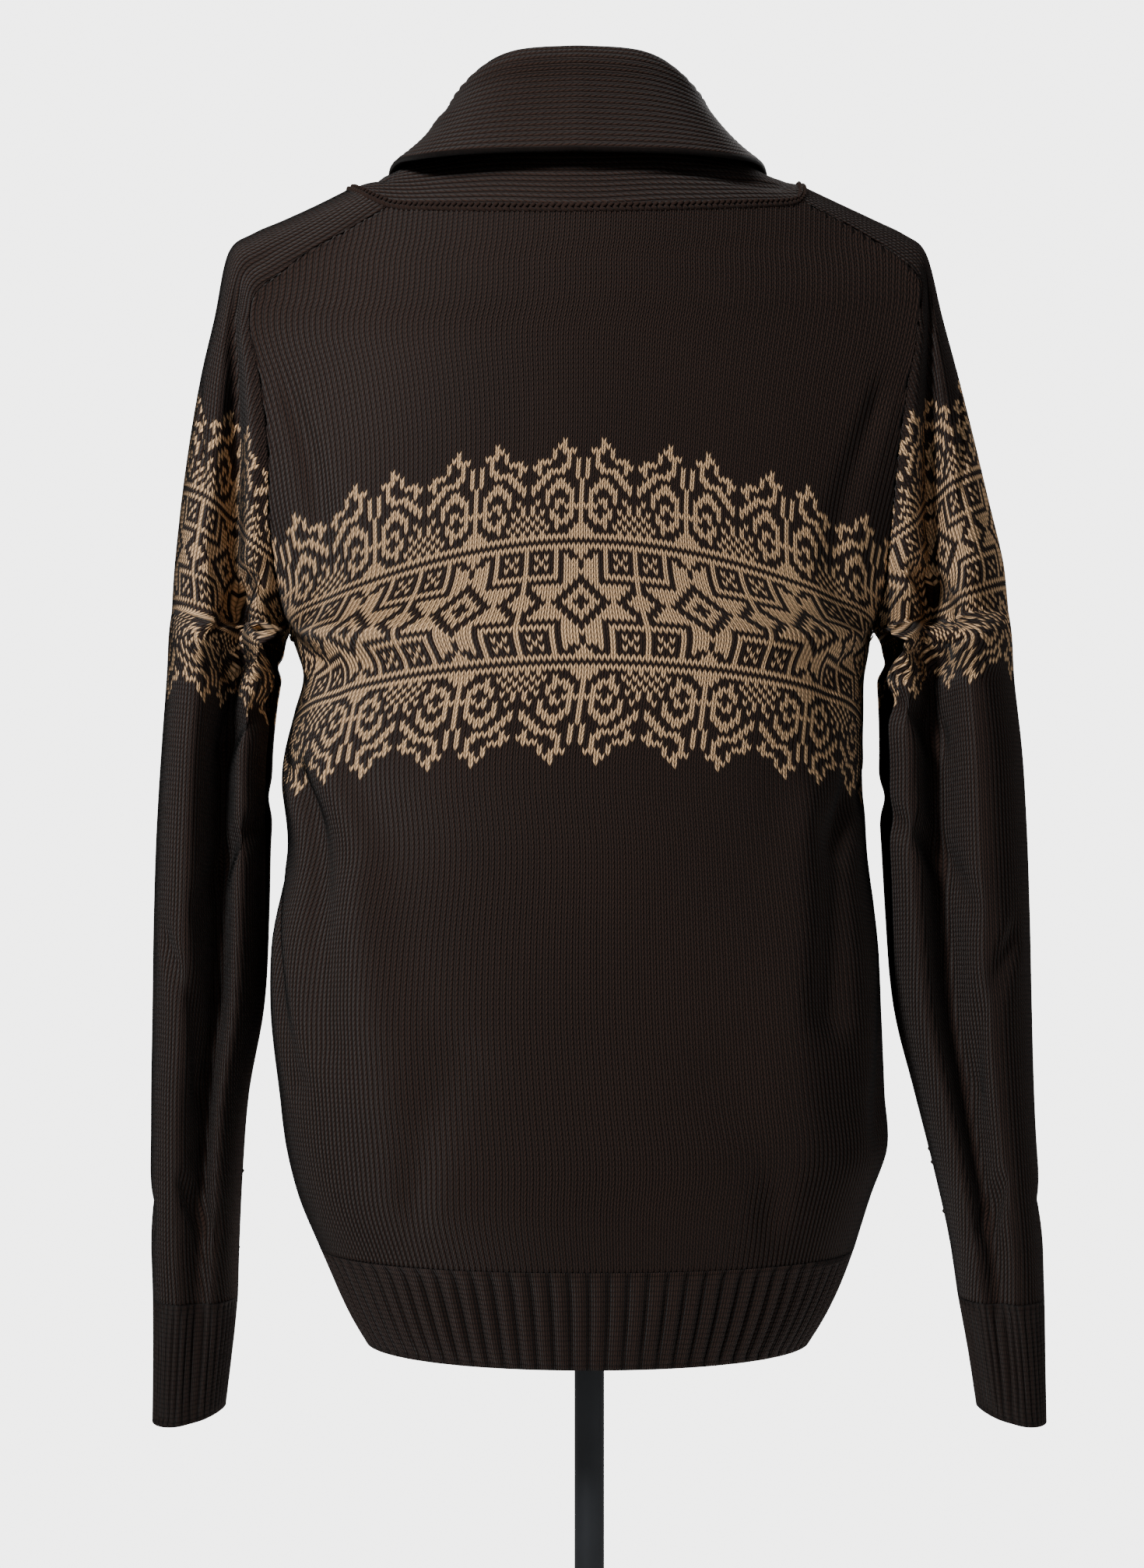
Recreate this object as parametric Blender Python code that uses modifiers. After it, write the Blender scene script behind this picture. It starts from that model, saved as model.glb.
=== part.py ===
"""Shawl-collar cardigan in knit with ribbed hem and cuffs, closed over a limbless dress form on a pole.

Metres, +Z up. The origin is the middle of the base's underside, on the pole's axis. The wearer faces +Y,
so the cardigan's back looks towards -Y, its left sleeve is at -X and its right sleeve at +X.
"""
import math

import bmesh
import bpy
import numpy as np

COLLECTION = "cardigan_on_dress_form"

# Cloth: the wall's thickness, half the gap at a seam, and the gap under a piece laid on another.
CLOTH = 0.0026
COLLAR_CLOTH = 0.0032
HALF_GAP = 0.00018
LAID_GAP = 0.0004

# The side seams lie on this plane, which parts the back from the fronts.
SEAM_Y = 0.004

# Underarm: the sleeve's half depth there, how far it is drawn clear of the body, and the share by which
# the cloth is pulled thin, out to this distance from the underarm point.
UNDERARM_HALF_DEPTH = 0.070
UNDERARM_GAP = 0.0008
UNDERARM_THINNING, UNDERARM_REACH = 0.55, 0.040

# Heights of the ribbed hem and cuffs.
HEM_BOTTOM, HEM_TOP = 0.640, 0.6945
CUFF_BOTTOM, CUFF_TOP = 0.590, 0.662

# The garment's middle line, its front edges, and the knit ribs.
MIDDLE_X = -0.0067
LEFT_EDGE_X, RIGHT_EDGE_X = -0.0170, 0.0185
NECK_POINT_Z = 1.100
HEM_BACK_RIBS, HEM_FRONT_RIBS, HEM_RIB_RISE = 38, 17, 0.0015
CUFF_RIBS, CUFF_RIB_RISE = 26, 0.0011

# Body below the armholes, hem to underarm: sides, depth of back and front, squareness of the section.
BODY_COLUMNS = ("z", "left", "right", "back", "front", "power")
BODY = (
    (0.6400, -0.1290, 0.1270, -0.118, 0.122, 2.10),
    (0.6580, -0.1395, 0.1380, -0.121, 0.124, 2.15),
    (0.6760, -0.1475, 0.1462, -0.124, 0.126, 2.20),
    (0.6945, -0.1555, 0.1530, -0.127, 0.128, 2.25),
    (0.7250, -0.1680, 0.1625, -0.131, 0.131, 2.30),
    (0.7500, -0.1745, 0.1712, -0.130, 0.131, 2.30),
    (0.7840, -0.1790, 0.1700, -0.125, 0.129, 2.30),
    (0.8320, -0.1840, 0.1685, -0.120, 0.127, 2.25),
    (0.8700, -0.1828, 0.1670, -0.116, 0.126, 2.20),
    (0.9230, -0.1745, 0.1605, -0.112, 0.125, 2.15),
    (0.9750, -0.1785, 0.1585, -0.113, 0.126, 2.15),
    (1.0250, -0.1715, 0.1600, -0.117, 0.129, 2.20),
    (1.0480, -0.1730, 0.1635, -0.119, 0.130, 2.35),
)

# Body above the underarm, one row for each shoulder row below: depths and height at the middle,
# squareness, how sharply the line meets its ends, and the front's neck edge from the middle line.
UPPER_COLUMNS = ("back", "front", "middle_z", "power", "end_power", "neck_edge")
UPPER = (
    (-0.119, 0.130, 1.048, 2.35, 0.43, 0.0),
    (-0.120, 0.130, 1.062, 2.30, 0.58, 0.0),
    (-0.121, 0.129, 1.081, 2.20, 0.78, 0.0),
    (-0.122, 0.126, 1.113, 2.15, 0.90, 0.018),
    (-0.121, 0.121, 1.150, 2.15, 0.90, 0.032),
    (-0.118, 0.114, 1.182, 2.15, 0.86, 0.046),
    (-0.113, 0.106, 1.209, 2.15, 0.82, 0.059),
    (-0.109, 0.100, 1.226, 2.15, 0.80, 0.067),
    (-0.105, 0.095, 1.239, 2.15, 0.78, 0.075),
    (-0.101, 0.089, 1.251, 2.15, 0.76, 0.083),
    (-0.096, 0.081, 1.264, 2.15, 0.75, 0.090),
    (-0.088, 0.072, 1.281, 2.15, 0.75, 0.096),
)

# Shoulders, underarm to neck: the sleeve's outermost line, and where it meets back and front. The
# angle says how far the section wraps past its widest part: -90 is a closed ring, above 0 a saddle.
SHOULDER_COLUMNS = ("crest_x", "crest_z", "back_x", "back_y", "back_z", "front_x", "front_y", "front_z",
                    "angle")
SHOULDER_LEFT = (
    (-0.2415, 1.058, -0.1730, 0.004, 1.0480, -0.1730, 0.004, 1.0480, -90),
    (-0.2405, 1.074, -0.1755, -0.022, 1.0590, -0.1755, 0.029, 1.0590, -66),
    (-0.2390, 1.092, -0.1775, -0.044, 1.0760, -0.1775, 0.050, 1.0760, -46),
    (-0.2354, 1.126, -0.1805, -0.060, 1.1100, -0.1800, 0.066, 1.1100, -22),
    (-0.2304, 1.162, -0.1810, -0.062, 1.1500, -0.1800, 0.067, 1.1500, -8),
    (-0.2240, 1.198, -0.1860, -0.057, 1.1900, -0.1835, 0.061, 1.1900, 2),
    (-0.2165, 1.230, -0.1925, -0.050, 1.2200, -0.1880, 0.053, 1.2220, 12),
    (-0.2085, 1.268, -0.1895, -0.046, 1.2385, -0.1865, 0.050, 1.2420, 22),
    (-0.1945, 1.279, -0.1765, -0.045, 1.2497, -0.1745, 0.050, 1.2520, 28),
    (-0.1770, 1.2865, -0.1600, -0.045, 1.2625, -0.1590, 0.050, 1.2640, 30),
    (-0.1580, 1.2950, -0.1380, -0.047, 1.2745, -0.1385, 0.052, 1.2750, 30),
    (-0.1385, 1.3045, -0.1140, -0.050, 1.2877, -0.1150, 0.054, 1.2870, 28),
)
SHOULDER_RIGHT = (
    (0.2425, 1.058, 0.1635, 0.004, 1.0480, 0.1635, 0.004, 1.0480, -90),
    (0.2410, 1.074, 0.1655, -0.022, 1.0590, 0.1655, 0.029, 1.0590, -66),
    (0.2385, 1.092, 0.1675, -0.044, 1.0760, 0.1675, 0.050, 1.0760, -46),
    (0.2305, 1.126, 0.1700, -0.058, 1.1100, 0.1700, 0.066, 1.1100, -22),
    (0.2220, 1.162, 0.1740, -0.058, 1.1500, 0.1730, 0.067, 1.1500, -8),
    (0.2130, 1.198, 0.1800, -0.052, 1.1900, 0.1780, 0.062, 1.1900, 2),
    (0.2045, 1.230, 0.1865, -0.043, 1.2220, 0.1810, 0.056, 1.2200, 12),
    (0.1950, 1.268, 0.1880, -0.037, 1.2470, 0.1790, 0.056, 1.2370, 22),
    (0.1830, 1.279, 0.1770, -0.036, 1.2600, 0.1660, 0.057, 1.2470, 28),
    (0.1650, 1.2875, 0.1610, -0.037, 1.2710, 0.1500, 0.057, 1.2590, 30),
    (0.1450, 1.2965, 0.1430, -0.039, 1.2810, 0.1290, 0.058, 1.2710, 30),
    (0.1215, 1.3070, 0.1220, -0.043, 1.2910, 0.1050, 0.058, 1.2840, 28),
)

# Sleeves below the underarm: inner and outer side, half depth, middle of the depth.
SLEEVE_COLUMNS = ("z", "left_in", "left_out", "right_in", "right_out", "half_depth", "middle_y")
SLEEVE = (
    (0.5900, -0.2125, -0.2550, 0.2265, 0.2670, 0.038, 0.024),
    (0.6260, -0.2085, -0.2545, 0.2215, 0.2662, 0.039, 0.023),
    (0.6620, -0.2052, -0.2545, 0.2155, 0.2655, 0.041, 0.022),
    (0.6950, -0.2042, -0.2548, 0.2105, 0.2638, 0.046, 0.021),
    (0.7350, -0.2022, -0.2550, 0.2015, 0.2612, 0.051, 0.019),
    (0.7800, -0.1985, -0.2547, 0.1900, 0.2588, 0.056, 0.017),
    (0.8300, -0.1895, -0.2537, 0.1772, 0.2572, 0.060, 0.015),
    (0.8850, -0.1860, -0.2525, 0.1702, 0.2556, 0.064, 0.012),
    (0.9350, -0.1845, -0.2505, 0.1660, 0.2535, 0.066, 0.009),
    (0.9800, -0.1830, -0.2475, 0.1645, 0.2505, 0.068, 0.007),
    (1.0180, -0.1785, -0.2445, 0.1640, 0.2460, 0.069, 0.005),
)

# The long trough down each sleeve's back, by height: its depth. Its middle and width are fractions of
# the way from the seam, or the sleeve's inner side, to its outermost line.
TROUGH_COLUMNS = ("z", "depth")
TROUGH = ((0.590, 0.003), (0.662, 0.005), (0.735, 0.010), (0.830, 0.014), (0.950, 0.016), (1.058, 0.016),
          (1.126, 0.013), (1.198, 0.009), (1.255, 0.002), (1.300, 0.0))
TROUGH_MIDDLE = {"left": 0.38, "right": 0.42}
TROUGH_WIDTH = 0.22

# Drape folds of the body: end points in x and z, half width, and depth inwards (a ridge is negative).
FOLD_COLUMNS = ("side", "x1", "z1", "x2", "z2", "half_width", "depth")
FOLDS = (
    ("back", -0.172, 0.925, -0.138, 0.850, 0.011, 0.0040),
    ("back", -0.178, 0.890, -0.150, 0.800, 0.012, -0.0030),
    ("back", 0.158, 1.000, 0.118, 0.955, 0.012, 0.0030),
    ("back", -0.165, 1.010, -0.115, 0.990, 0.012, 0.0030),
    ("front", -0.150, 0.950, -0.110, 0.860, 0.013, 0.0040),
    ("front", 0.145, 0.985, 0.100, 0.900, 0.013, 0.0040),
)

# Shawl collar, by distance along the neck seam from the middle of the back: the fold line and the
# fall's free edge, each as distance from the middle line, y and z, and how far the sections sag.
# Each front end flattens into its band, and both ends sink by a cloth's thickness to lie under it.
COLLAR_COLUMNS = ("along", "fold_x", "fold_y", "fold_z", "edge_x", "edge_y", "edge_z", "sag")
COLLAR = (
    (0.000, 0.0000, -0.0620, 1.3735, 0.0000, -0.0990, 1.3130, 0.003),
    (0.060, 0.0340, -0.0545, 1.3725, 0.0550, -0.0890, 1.3130, 0.005),
    (0.115, 0.0530, -0.0330, 1.3650, 0.0900, -0.0640, 1.3140, 0.009),
    (0.165, 0.0625, 0.0010, 1.3535, 0.1070, -0.0180, 1.3180, 0.012),
    (0.220, 0.0620, 0.0380, 1.3270, 0.1190, 0.0420, 1.3050, 0.009),
    (0.275, 0.0540, 0.0790, 1.2800, 0.1200, 0.0860, 1.2570, 0.002),
    (0.330, 0.0400, 0.1010, 1.2320, 0.1040, 0.0980, 1.2150, 0.001),
    (0.382, 0.0240, 0.1160, 1.1850, 0.0680, 0.1200, 1.1760, 0.000),
)
COLLAR_END = {
    "left": ((0.418, 0.0080, 0.1250, 1.1510, 0.0300, 0.1380, 1.1480, 0.0),
             (0.458, -0.0040, 0.1270, 1.1130, -0.0030, 0.1400, 1.1130, 0.0),
             (0.492, -0.0130, 0.1275, 1.0810, -0.0247, 0.1270, 1.0810, 0.0)),
    "right": ((0.430, 0.0125, 0.1230, 1.1500, 0.0190, 0.1360, 1.1480, 0.0),
              (0.468, 0.0120, 0.1215, 1.1130, 0.0045, 0.1215, 1.1130, 0.0),
              (0.500, 0.0020, 0.1232, 1.0810, -0.0090, 0.1232, 1.0810, 0.0)),
}

# The fold's roll: half its width, its height as a multiple of that, and the sag of the fall as a share
# of the stand's. The front ends sink from this distance along the seam, over this length.
COLLAR_ROLL, ROLL_REACH, FALL_SAG = 0.0042, 1.6, 0.4
STAND_AT, FALL_AT = (0.33, 0.7), (0.5, 1.0)
COLLAR_SINK_FROM, COLLAR_SINK_OVER = 0.420, 0.045
COLLAR_SMOOTHING = 3

# The right band runs on under the left one at both sides.
UNDER_BAND_START, UNDER_BAND_END = 0.001, 0.003
BAND_STEPS = 4

# Dress form, bottom to top of the neck: half width, depth of back and front, squareness.
FORM_COLUMNS = ("z", "half_width", "back", "front", "power")
FORM = (
    (0.7480, 0.1500, -0.100, 0.104, 2.2),
    (0.7560, 0.1570, -0.108, 0.112, 2.2),
    (0.7850, 0.1600, -0.110, 0.113, 2.2),
    (0.8400, 0.1570, -0.106, 0.110, 2.2),
    (0.9000, 0.1490, -0.100, 0.108, 2.2),
    (0.9600, 0.1460, -0.100, 0.109, 2.2),
    (1.0200, 0.1490, -0.104, 0.112, 2.2),
    (1.0800, 0.1560, -0.108, 0.112, 2.1),
    (1.1300, 0.1620, -0.109, 0.108, 2.0),
    (1.1750, 0.1680, -0.106, 0.100, 1.9),
    (1.2100, 0.1740, -0.098, 0.090, 1.8),
    (1.2350, 0.1800, -0.088, 0.080, 1.7),
    (1.2570, 0.1850, -0.074, 0.068, 1.6),
    (1.2738, 0.1840, -0.062, 0.057, 1.55),
    (1.2818, 0.1730, -0.056, 0.052, 1.55),
    (1.2892, 0.1560, -0.053, 0.050, 1.6),
    (1.2957, 0.1370, -0.053, 0.050, 1.6),
    (1.2997, 0.1180, -0.054, 0.050, 1.7),
    (1.3050, 0.0860, -0.054, 0.051, 1.8),
    (1.3160, 0.0650, -0.051, 0.051, 1.9),
    (1.3280, 0.0560, -0.047, 0.051, 2.0),
    (1.3420, 0.0500, -0.042, 0.050, 2.0),
    (1.3480, 0.0460, -0.038, 0.046, 2.0),
)

# Stand: a round pole up to the form and a turned base, its profile from the top edge outwards.
POLE_RADIUS, POLE_BOTTOM = 0.0086, 0.0145
BASE_RADIUS, BASE_THICKNESS, HUB_RADIUS, HUB_EDGE = 0.180, 0.010, 0.028, 0.002

BUTTON_RADIUS, BUTTON_THICKNESS = 0.0105, 0.0040
BUTTON_TOP_Z, BUTTON_STEP, BUTTONS = 1.064, 0.101, 5

# Mesh fineness, and the angles in degrees above which an edge is shaded sharp.
BODY_STEPS, FRONT_STEPS, SLEEVE_STEPS, FORM_STEPS = 20, 10, 22, 24
BUTTON_SIDES, POLE_SIDES, BASE_SIDES = 18, 24, 40
WALL_SHARP, FORM_SHARP = 40, 50
LEFT, RIGHT = -1, 1


def column(table, columns, name):
    """One named column of a table."""
    at = columns.index(name)
    return np.array([row[at] for row in table], dtype=float)


def smooth(at, table, columns, name, key="z"):
    """A smooth curve through one column of a table, read at one or more places along its key column."""
    xs, ys = column(table, columns, key), column(table, columns, name)
    slopes = np.gradient(ys, xs)
    at = np.clip(np.atleast_1d(np.asarray(at, dtype=float)), xs[0], xs[-1])
    i = np.clip(np.searchsorted(xs, at, side="right") - 1, 0, len(xs) - 2)
    step = xs[i + 1] - xs[i]
    t = (at - xs[i]) / step
    rise = (2 * t**3 - 3 * t**2 + 1) * ys[i] + (t**3 - 2 * t**2 + t) * step * slopes[i]
    return rise + (3 * t**2 - 2 * t**3) * ys[i + 1] + (t**3 - t**2) * step * slopes[i + 1]


def unit(vectors):
    """Vectors scaled to length one."""
    length = np.linalg.norm(vectors, axis=-1, keepdims=True)
    return vectors / np.maximum(length, 1e-9)


def evenly(points, count):
    """The same line with its points spread evenly along its length."""
    lengths = np.concatenate(([0.0], np.cumsum(np.linalg.norm(np.diff(points, axis=0), axis=1))))
    at = np.linspace(0.0, lengths[-1], count)
    return np.stack([np.interp(at, lengths, points[:, axis]) for axis in range(3)], axis=1)


def body_line(left, right, depth_y, middle_z, power, end_power, count=241):
    """One level line of the back or front, from its left end to its right end."""
    across = np.sin(np.linspace(-math.pi / 2, math.pi / 2, count))
    bulge = (1 - np.abs(across) ** power) ** end_power
    middle, half = (left + right) / 2, (right - left) / 2
    line = middle + np.outer(across, half)
    line[:, 1] += bulge * (depth_y - middle[1])
    line[:, 2] += (1 - across**2) * (middle_z - middle[2])
    return line


def folded(points, side, direction):
    """Points of one body side pushed in or out by the drape folds on it, which fade out at its seams."""
    moved = points.copy()
    steps = np.arange(points.shape[1])
    fade = np.clip(np.minimum(steps, steps[::-1]) / 3, 0.0, 1.0)
    for row in FOLDS:
        fold = dict(zip(FOLD_COLUMNS, row))
        if fold["side"] != side:
            continue
        start, end = np.array([fold["x1"], fold["z1"]]), np.array([fold["x2"], fold["z2"]])
        along, offset = end - start, points[..., [0, 2]] - start
        t = np.clip(offset @ along / (along @ along), 0.0, 1.0)
        distance = np.linalg.norm(offset - t[..., None] * along, axis=-1)
        shape = np.exp(-((distance / fold["half_width"]) ** 2)) * np.sin(math.pi * (0.15 + 0.7 * t))
        moved[..., 1] -= direction * fold["depth"] * shape * fade
    return moved


def side_point(level, name):
    """The side seam at one height."""
    return np.array([smooth(level, BODY, BODY_COLUMNS, name)[0], SEAM_Y, level])


def low_line(level, side):
    """The whole back or front line at one height below the armholes."""
    depth = smooth(level, BODY, BODY_COLUMNS, side)[0]
    power = smooth(level, BODY, BODY_COLUMNS, "power")[0]
    return body_line(side_point(level, "left"), side_point(level, "right"), depth, level, power, 1 / power)


def seam_point(row, table, side):
    """Where a sleeve meets the back or front, at one shoulder row."""
    at = [SHOULDER_COLUMNS.index(side + axis) for axis in ("_x", "_y", "_z")]
    return np.array([table[row][i] for i in at])


def high_line(row, side):
    """The whole back or front line at one shoulder row."""
    upper = dict(zip(UPPER_COLUMNS, UPPER[row]))
    ends = [seam_point(row, table, side) for table in (SHOULDER_LEFT, SHOULDER_RIGHT)]
    return body_line(*ends, upper[side], upper["middle_z"], upper["power"], upper["end_power"])


def cut_line(line, start_x, end_x):
    """The stretch of a line between two values of x."""
    inner = line[(line[:, 0] > start_x + 1e-6) & (line[:, 0] < end_x - 1e-6)]
    ends = [[np.interp(x, line[:, 0], line[:, axis]) for axis in range(3)] for x in (start_x, end_x)]
    return np.vstack(([ends[0]], inner, [ends[1]]))


LEVELS = [row[0] for row in BODY if row[0] >= HEM_TOP]
ROWS = len(UPPER)
BAND_ROWS = [row for row in range(1, ROWS)
             if UPPER[row][UPPER_COLUMNS.index("middle_z")] < NECK_POINT_Z]


def back_points():
    """The back panel's outer points, hem to neck and left to right."""
    rows = [evenly(low_line(level, "back"), BODY_STEPS + 1) for level in LEVELS]
    rows += [evenly(high_line(row, "back"), BODY_STEPS + 1) for row in range(1, ROWS)]
    return folded(np.array(rows), "back", -1)


def front_points(hand):
    """One front panel's outer points, hem to neck, from its left end to its right end."""
    rows = []
    lines = [(low_line(level, "front"), 0.0) for level in LEVELS]
    lines += [(high_line(row, "front"), UPPER[row][UPPER_COLUMNS.index("neck_edge")])
              for row in range(1, ROWS)]
    for line, opening in lines:
        if hand == LEFT:
            span = (line[0, 0], min(LEFT_EDGE_X, MIDDLE_X - opening))
        else:
            span = (max(RIGHT_EDGE_X, MIDDLE_X + opening), line[-1, 0])
        rows.append(evenly(cut_line(line, *span), FRONT_STEPS + 1))
    return folded(np.array(rows), "front", 1)


def trough_depth(height, angle, start, hand):
    """How far the sleeve's back is pressed in, at section angles that run from a start angle."""
    middle = TROUGH_MIDDLE["left" if hand == LEFT else "right"]
    fraction = (np.sin(angle) - math.sin(start)) / (1 - math.sin(start))
    depth = smooth(height, TROUGH, TROUGH_COLUMNS, "depth")
    return depth * np.exp(-(((fraction - middle) / TROUGH_WIDTH) ** 2))


def half_section(crest, end, middle_y, half_depth, angles):
    """Half a sleeve section, from its end on the body's side to its outermost point."""
    reach = (np.array(crest) - end[[0, 2]]) / (1 - math.sin(angles[0]))
    inward = (1 - np.sin(angles))[:, None] * reach
    depth = np.sign(end[1] - middle_y) * half_depth * np.cos(angles)
    return np.column_stack((crest[0] - inward[:, 0], middle_y + depth, crest[1] - inward[:, 1]))


def sleeve_ring(hand, level):
    """A closed sleeve section below the underarm, from the inner side round the back."""
    name = "left" if hand == LEFT else "right"
    value = {part: smooth(level, SLEEVE, SLEEVE_COLUMNS, part)[0]
             for part in (name + "_in", name + "_out", "half_depth", "middle_y")}
    inner, outer = value[name + "_in"], value[name + "_out"]
    angle = np.linspace(0.0, 2 * math.pi, SLEEVE_STEPS + 1) - math.pi / 2
    across = (inner + outer) / 2 + (outer - inner) / 2 * np.sin(angle)
    depth = value["middle_y"] - value["half_depth"] * np.cos(angle)
    back = np.where(np.cos(angle) > 0, trough_depth(level, angle, -math.pi / 2, hand), 0.0)
    return np.column_stack((across, depth + back, np.full(len(angle), level)))


def sleeve_arch(hand, row):
    """A sleeve section over the shoulder, from the back's seam over the top to the front's seam."""
    table = SHOULDER_LEFT if hand == LEFT else SHOULDER_RIGHT
    value = dict(zip(SHOULDER_COLUMNS, table[row]))
    crest = (value["crest_x"], value["crest_z"])
    ends = [seam_point(row, table, side) for side in ("back", "front")]
    start = math.radians(value["angle"])
    angles = np.linspace(start, math.pi / 2, SLEEVE_STEPS // 2 + 1)
    middle_y = (ends[0][1] + ends[1][1]) / 2
    half_gap = (ends[1][1] - ends[0][1]) / 2
    if row == 0:
        middle_y, half_depth = SEAM_Y, UNDERARM_HALF_DEPTH
        ends = [ends[0] - [0, 1e-6, 0], ends[1] + [0, 1e-6, 0]]
    else:
        half_depth = half_gap / math.cos(start)
    back, front = (half_section(crest, end, middle_y, half_depth, angles) for end in ends)
    back[:, 1] += trough_depth(back[:, 2], angles, start, hand)
    return np.vstack((back, front[-2::-1]))


SLEEVE_LEVELS = [row[0] for row in SLEEVE if row[0] >= CUFF_TOP]


def sleeve_points(hand):
    """A sleeve's outer points, cuff to neck, from the back seam round the outside to the front seam."""
    rings = [sleeve_ring(hand, level) for level in SLEEVE_LEVELS]
    return np.array(rings + [sleeve_arch(hand, row) for row in range(ROWS)])


def grid_normals(points, middle, closed_rows=0):
    """Directions away from a middle point, square to a grid. Rows below closed_rows join end to end."""
    along = np.gradient(points, axis=0)
    across = np.gradient(points, axis=1)
    if closed_rows:
        wrap = (points[:closed_rows, 1] - points[:closed_rows, -2]) / 2
        across[:closed_rows, 0] = wrap
        across[:closed_rows, -1] = wrap
    normals = unit(np.cross(across, along))
    return normals * np.sign(np.sum(normals * (points - middle)))


def shrink(outer, inner, edges):
    """Both faces of a wall drawn back from the named edges by half a seam's gap."""
    for grid in (outer, inner):
        for edge in edges:
            if edge == "bottom":
                grid[0] += unit(grid[1] - grid[0]) * HALF_GAP
            elif edge == "top":
                grid[-1] += unit(grid[-2] - grid[-1]) * HALF_GAP
            elif edge == "start":
                grid[:, 0] += unit(grid[:, 1] - grid[:, 0]) * HALF_GAP
            else:
                grid[:, -1] += unit(grid[:, -2] - grid[:, -1]) * HALF_GAP


def new_object(name, mesh, material):
    """A finished mesh as one named object of the garment's collection."""
    item = bpy.data.objects.new(name, mesh)
    collection.objects.link(item)
    mesh.materials.append(material)
    return item


def wall(name, outer, inner, material, closed_rows=0):
    """A closed wall between two grids of points. The first closed_rows rows run all the way round."""
    rows, columns = outer.shape[:2]

    def corner(side, row, at):
        at = 0 if row < closed_rows and at == columns - 1 else at
        return (side * rows + row) * columns + at

    faces = []
    for row in range(rows - 1):
        for at in range(columns - 1):
            ring = ((row, at), (row, at + 1), (row + 1, at + 1), (row + 1, at))
            faces.append([corner(0, *place) for place in ring])
            faces.append([corner(1, *place) for place in reversed(ring)])
        if row + 1 >= closed_rows:
            for at in (0, columns - 1):
                faces.append([corner(0, row, at), corner(0, row + 1, at),
                              corner(1, row + 1, at), corner(1, row, at)])
    for row in (0, rows - 1):
        for at in range(columns - 1):
            faces.append([corner(0, row, at), corner(0, row, at + 1),
                          corner(1, row, at + 1), corner(1, row, at)])
    mesh = bpy.data.meshes.new(name)
    mesh.from_pydata(np.vstack((outer.reshape(-1, 3), inner.reshape(-1, 3))).tolist(), [], faces)
    shape = bmesh.new()
    shape.from_mesh(mesh)
    loose = [vertex for vertex in shape.verts if not vertex.link_faces]
    bmesh.ops.delete(shape, geom=loose, context="VERTS")
    bmesh.ops.recalc_face_normals(shape, faces=shape.faces)
    shape.to_mesh(mesh)
    shape.free()
    mesh.shade_smooth()
    mesh.set_sharp_from_angle(angle=math.radians(WALL_SHARP))
    return new_object(name, mesh, material)


def surface(name, color, roughness, metallic=0.0):
    """A plain material."""
    material = bpy.data.materials.new(name)
    material.use_nodes = True
    shader = material.node_tree.nodes["Principled BSDF"]
    shader.inputs["Base Color"].default_value = (*color, 1.0)
    shader.inputs["Roughness"].default_value = roughness
    shader.inputs["Metallic"].default_value = metallic
    return material


def thickness(points):
    """The cloth's thickness at a grid's points. It is pulled thin where body and sleeve part underarm."""
    away = [np.linalg.norm(points - seam_point(0, table, "back"), axis=-1)
            for table in (SHOULDER_LEFT, SHOULDER_RIGHT)]
    thinning = UNDERARM_THINNING * np.exp(-((np.minimum(*away) / UNDERARM_REACH) ** 2))
    return CLOTH * (1 - thinning)[..., None]


def make_panels():
    """Back, fronts and sleeves, with their walls mitred where they meet. Returns the walls' grids."""
    low = len(LEVELS)
    ring_rows = len(SLEEVE_LEVELS) + 1
    outer = {"back": back_points(), "front_left": front_points(LEFT), "front_right": front_points(RIGHT),
             "sleeve_left": sleeve_points(LEFT), "sleeve_right": sleeve_points(RIGHT)}
    normals = {}
    for name, points in outer.items():
        sleeve = "sleeve" in name
        middle = points.mean(axis=(0, 1)) if sleeve else np.array([MIDDLE_X, 0.0, 1.0])
        normals[name] = grid_normals(points, middle, ring_rows if sleeve else 0)
        normals[name][0, :, 2] = 0.0
        normals[name][0] = unit(normals[name][0])
    for hand, end in (("left", 0), ("right", -1)):
        front, sleeve = normals["front_" + hand], normals["sleeve_" + hand]
        back = normals["back"]
        shared = unit(back[:low, end] + front[:low, end])
        back[:low, end] = front[:low, end] = shared
        for side, panel, sleeve_end in (("back", back, 0), ("front", front, -1)):
            seam = unit(panel[low:, end] + sleeve[ring_rows:, sleeve_end])
            panel[low:, end] = seam
            sleeve[ring_rows:, sleeve_end] = seam
        for grid, row, at in ((back, low - 1, end), (front, low - 1, end),
                              (sleeve, ring_rows - 1, 0), (sleeve, ring_rows - 1, -1)):
            grid[row, at] = (0.0, 0.0, -1.0)
    inner = {name: points - thickness(points) * normals[name] for name, points in outer.items()}
    edges = {"back": ("bottom", "start", "end"), "front_left": ("bottom", "start", "end"),
             "front_right": ("bottom", "start", "end"), "sleeve_left": ("bottom",),
             "sleeve_right": ("bottom",)}
    for name in outer:
        shrink(outer[name], inner[name], edges[name])
        if "sleeve" in name:
            for grid in (outer[name], inner[name]):
                opened = grid[ring_rows:]
                opened[:, 0] += unit(opened[:, 1] - opened[:, 0]) * HALF_GAP
                opened[:, -1] += unit(opened[:, -2] - opened[:, -1]) * HALF_GAP
                grid[ring_rows - 1, [0, -1], 0] += np.sign(grid[ring_rows - 1, 0, 0]) * UNDERARM_GAP
            wall(name, outer[name], inner[name], knit, closed_rows=ring_rows)
        else:
            wall(name, outer[name], inner[name], knit)
    return outer, inner


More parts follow.
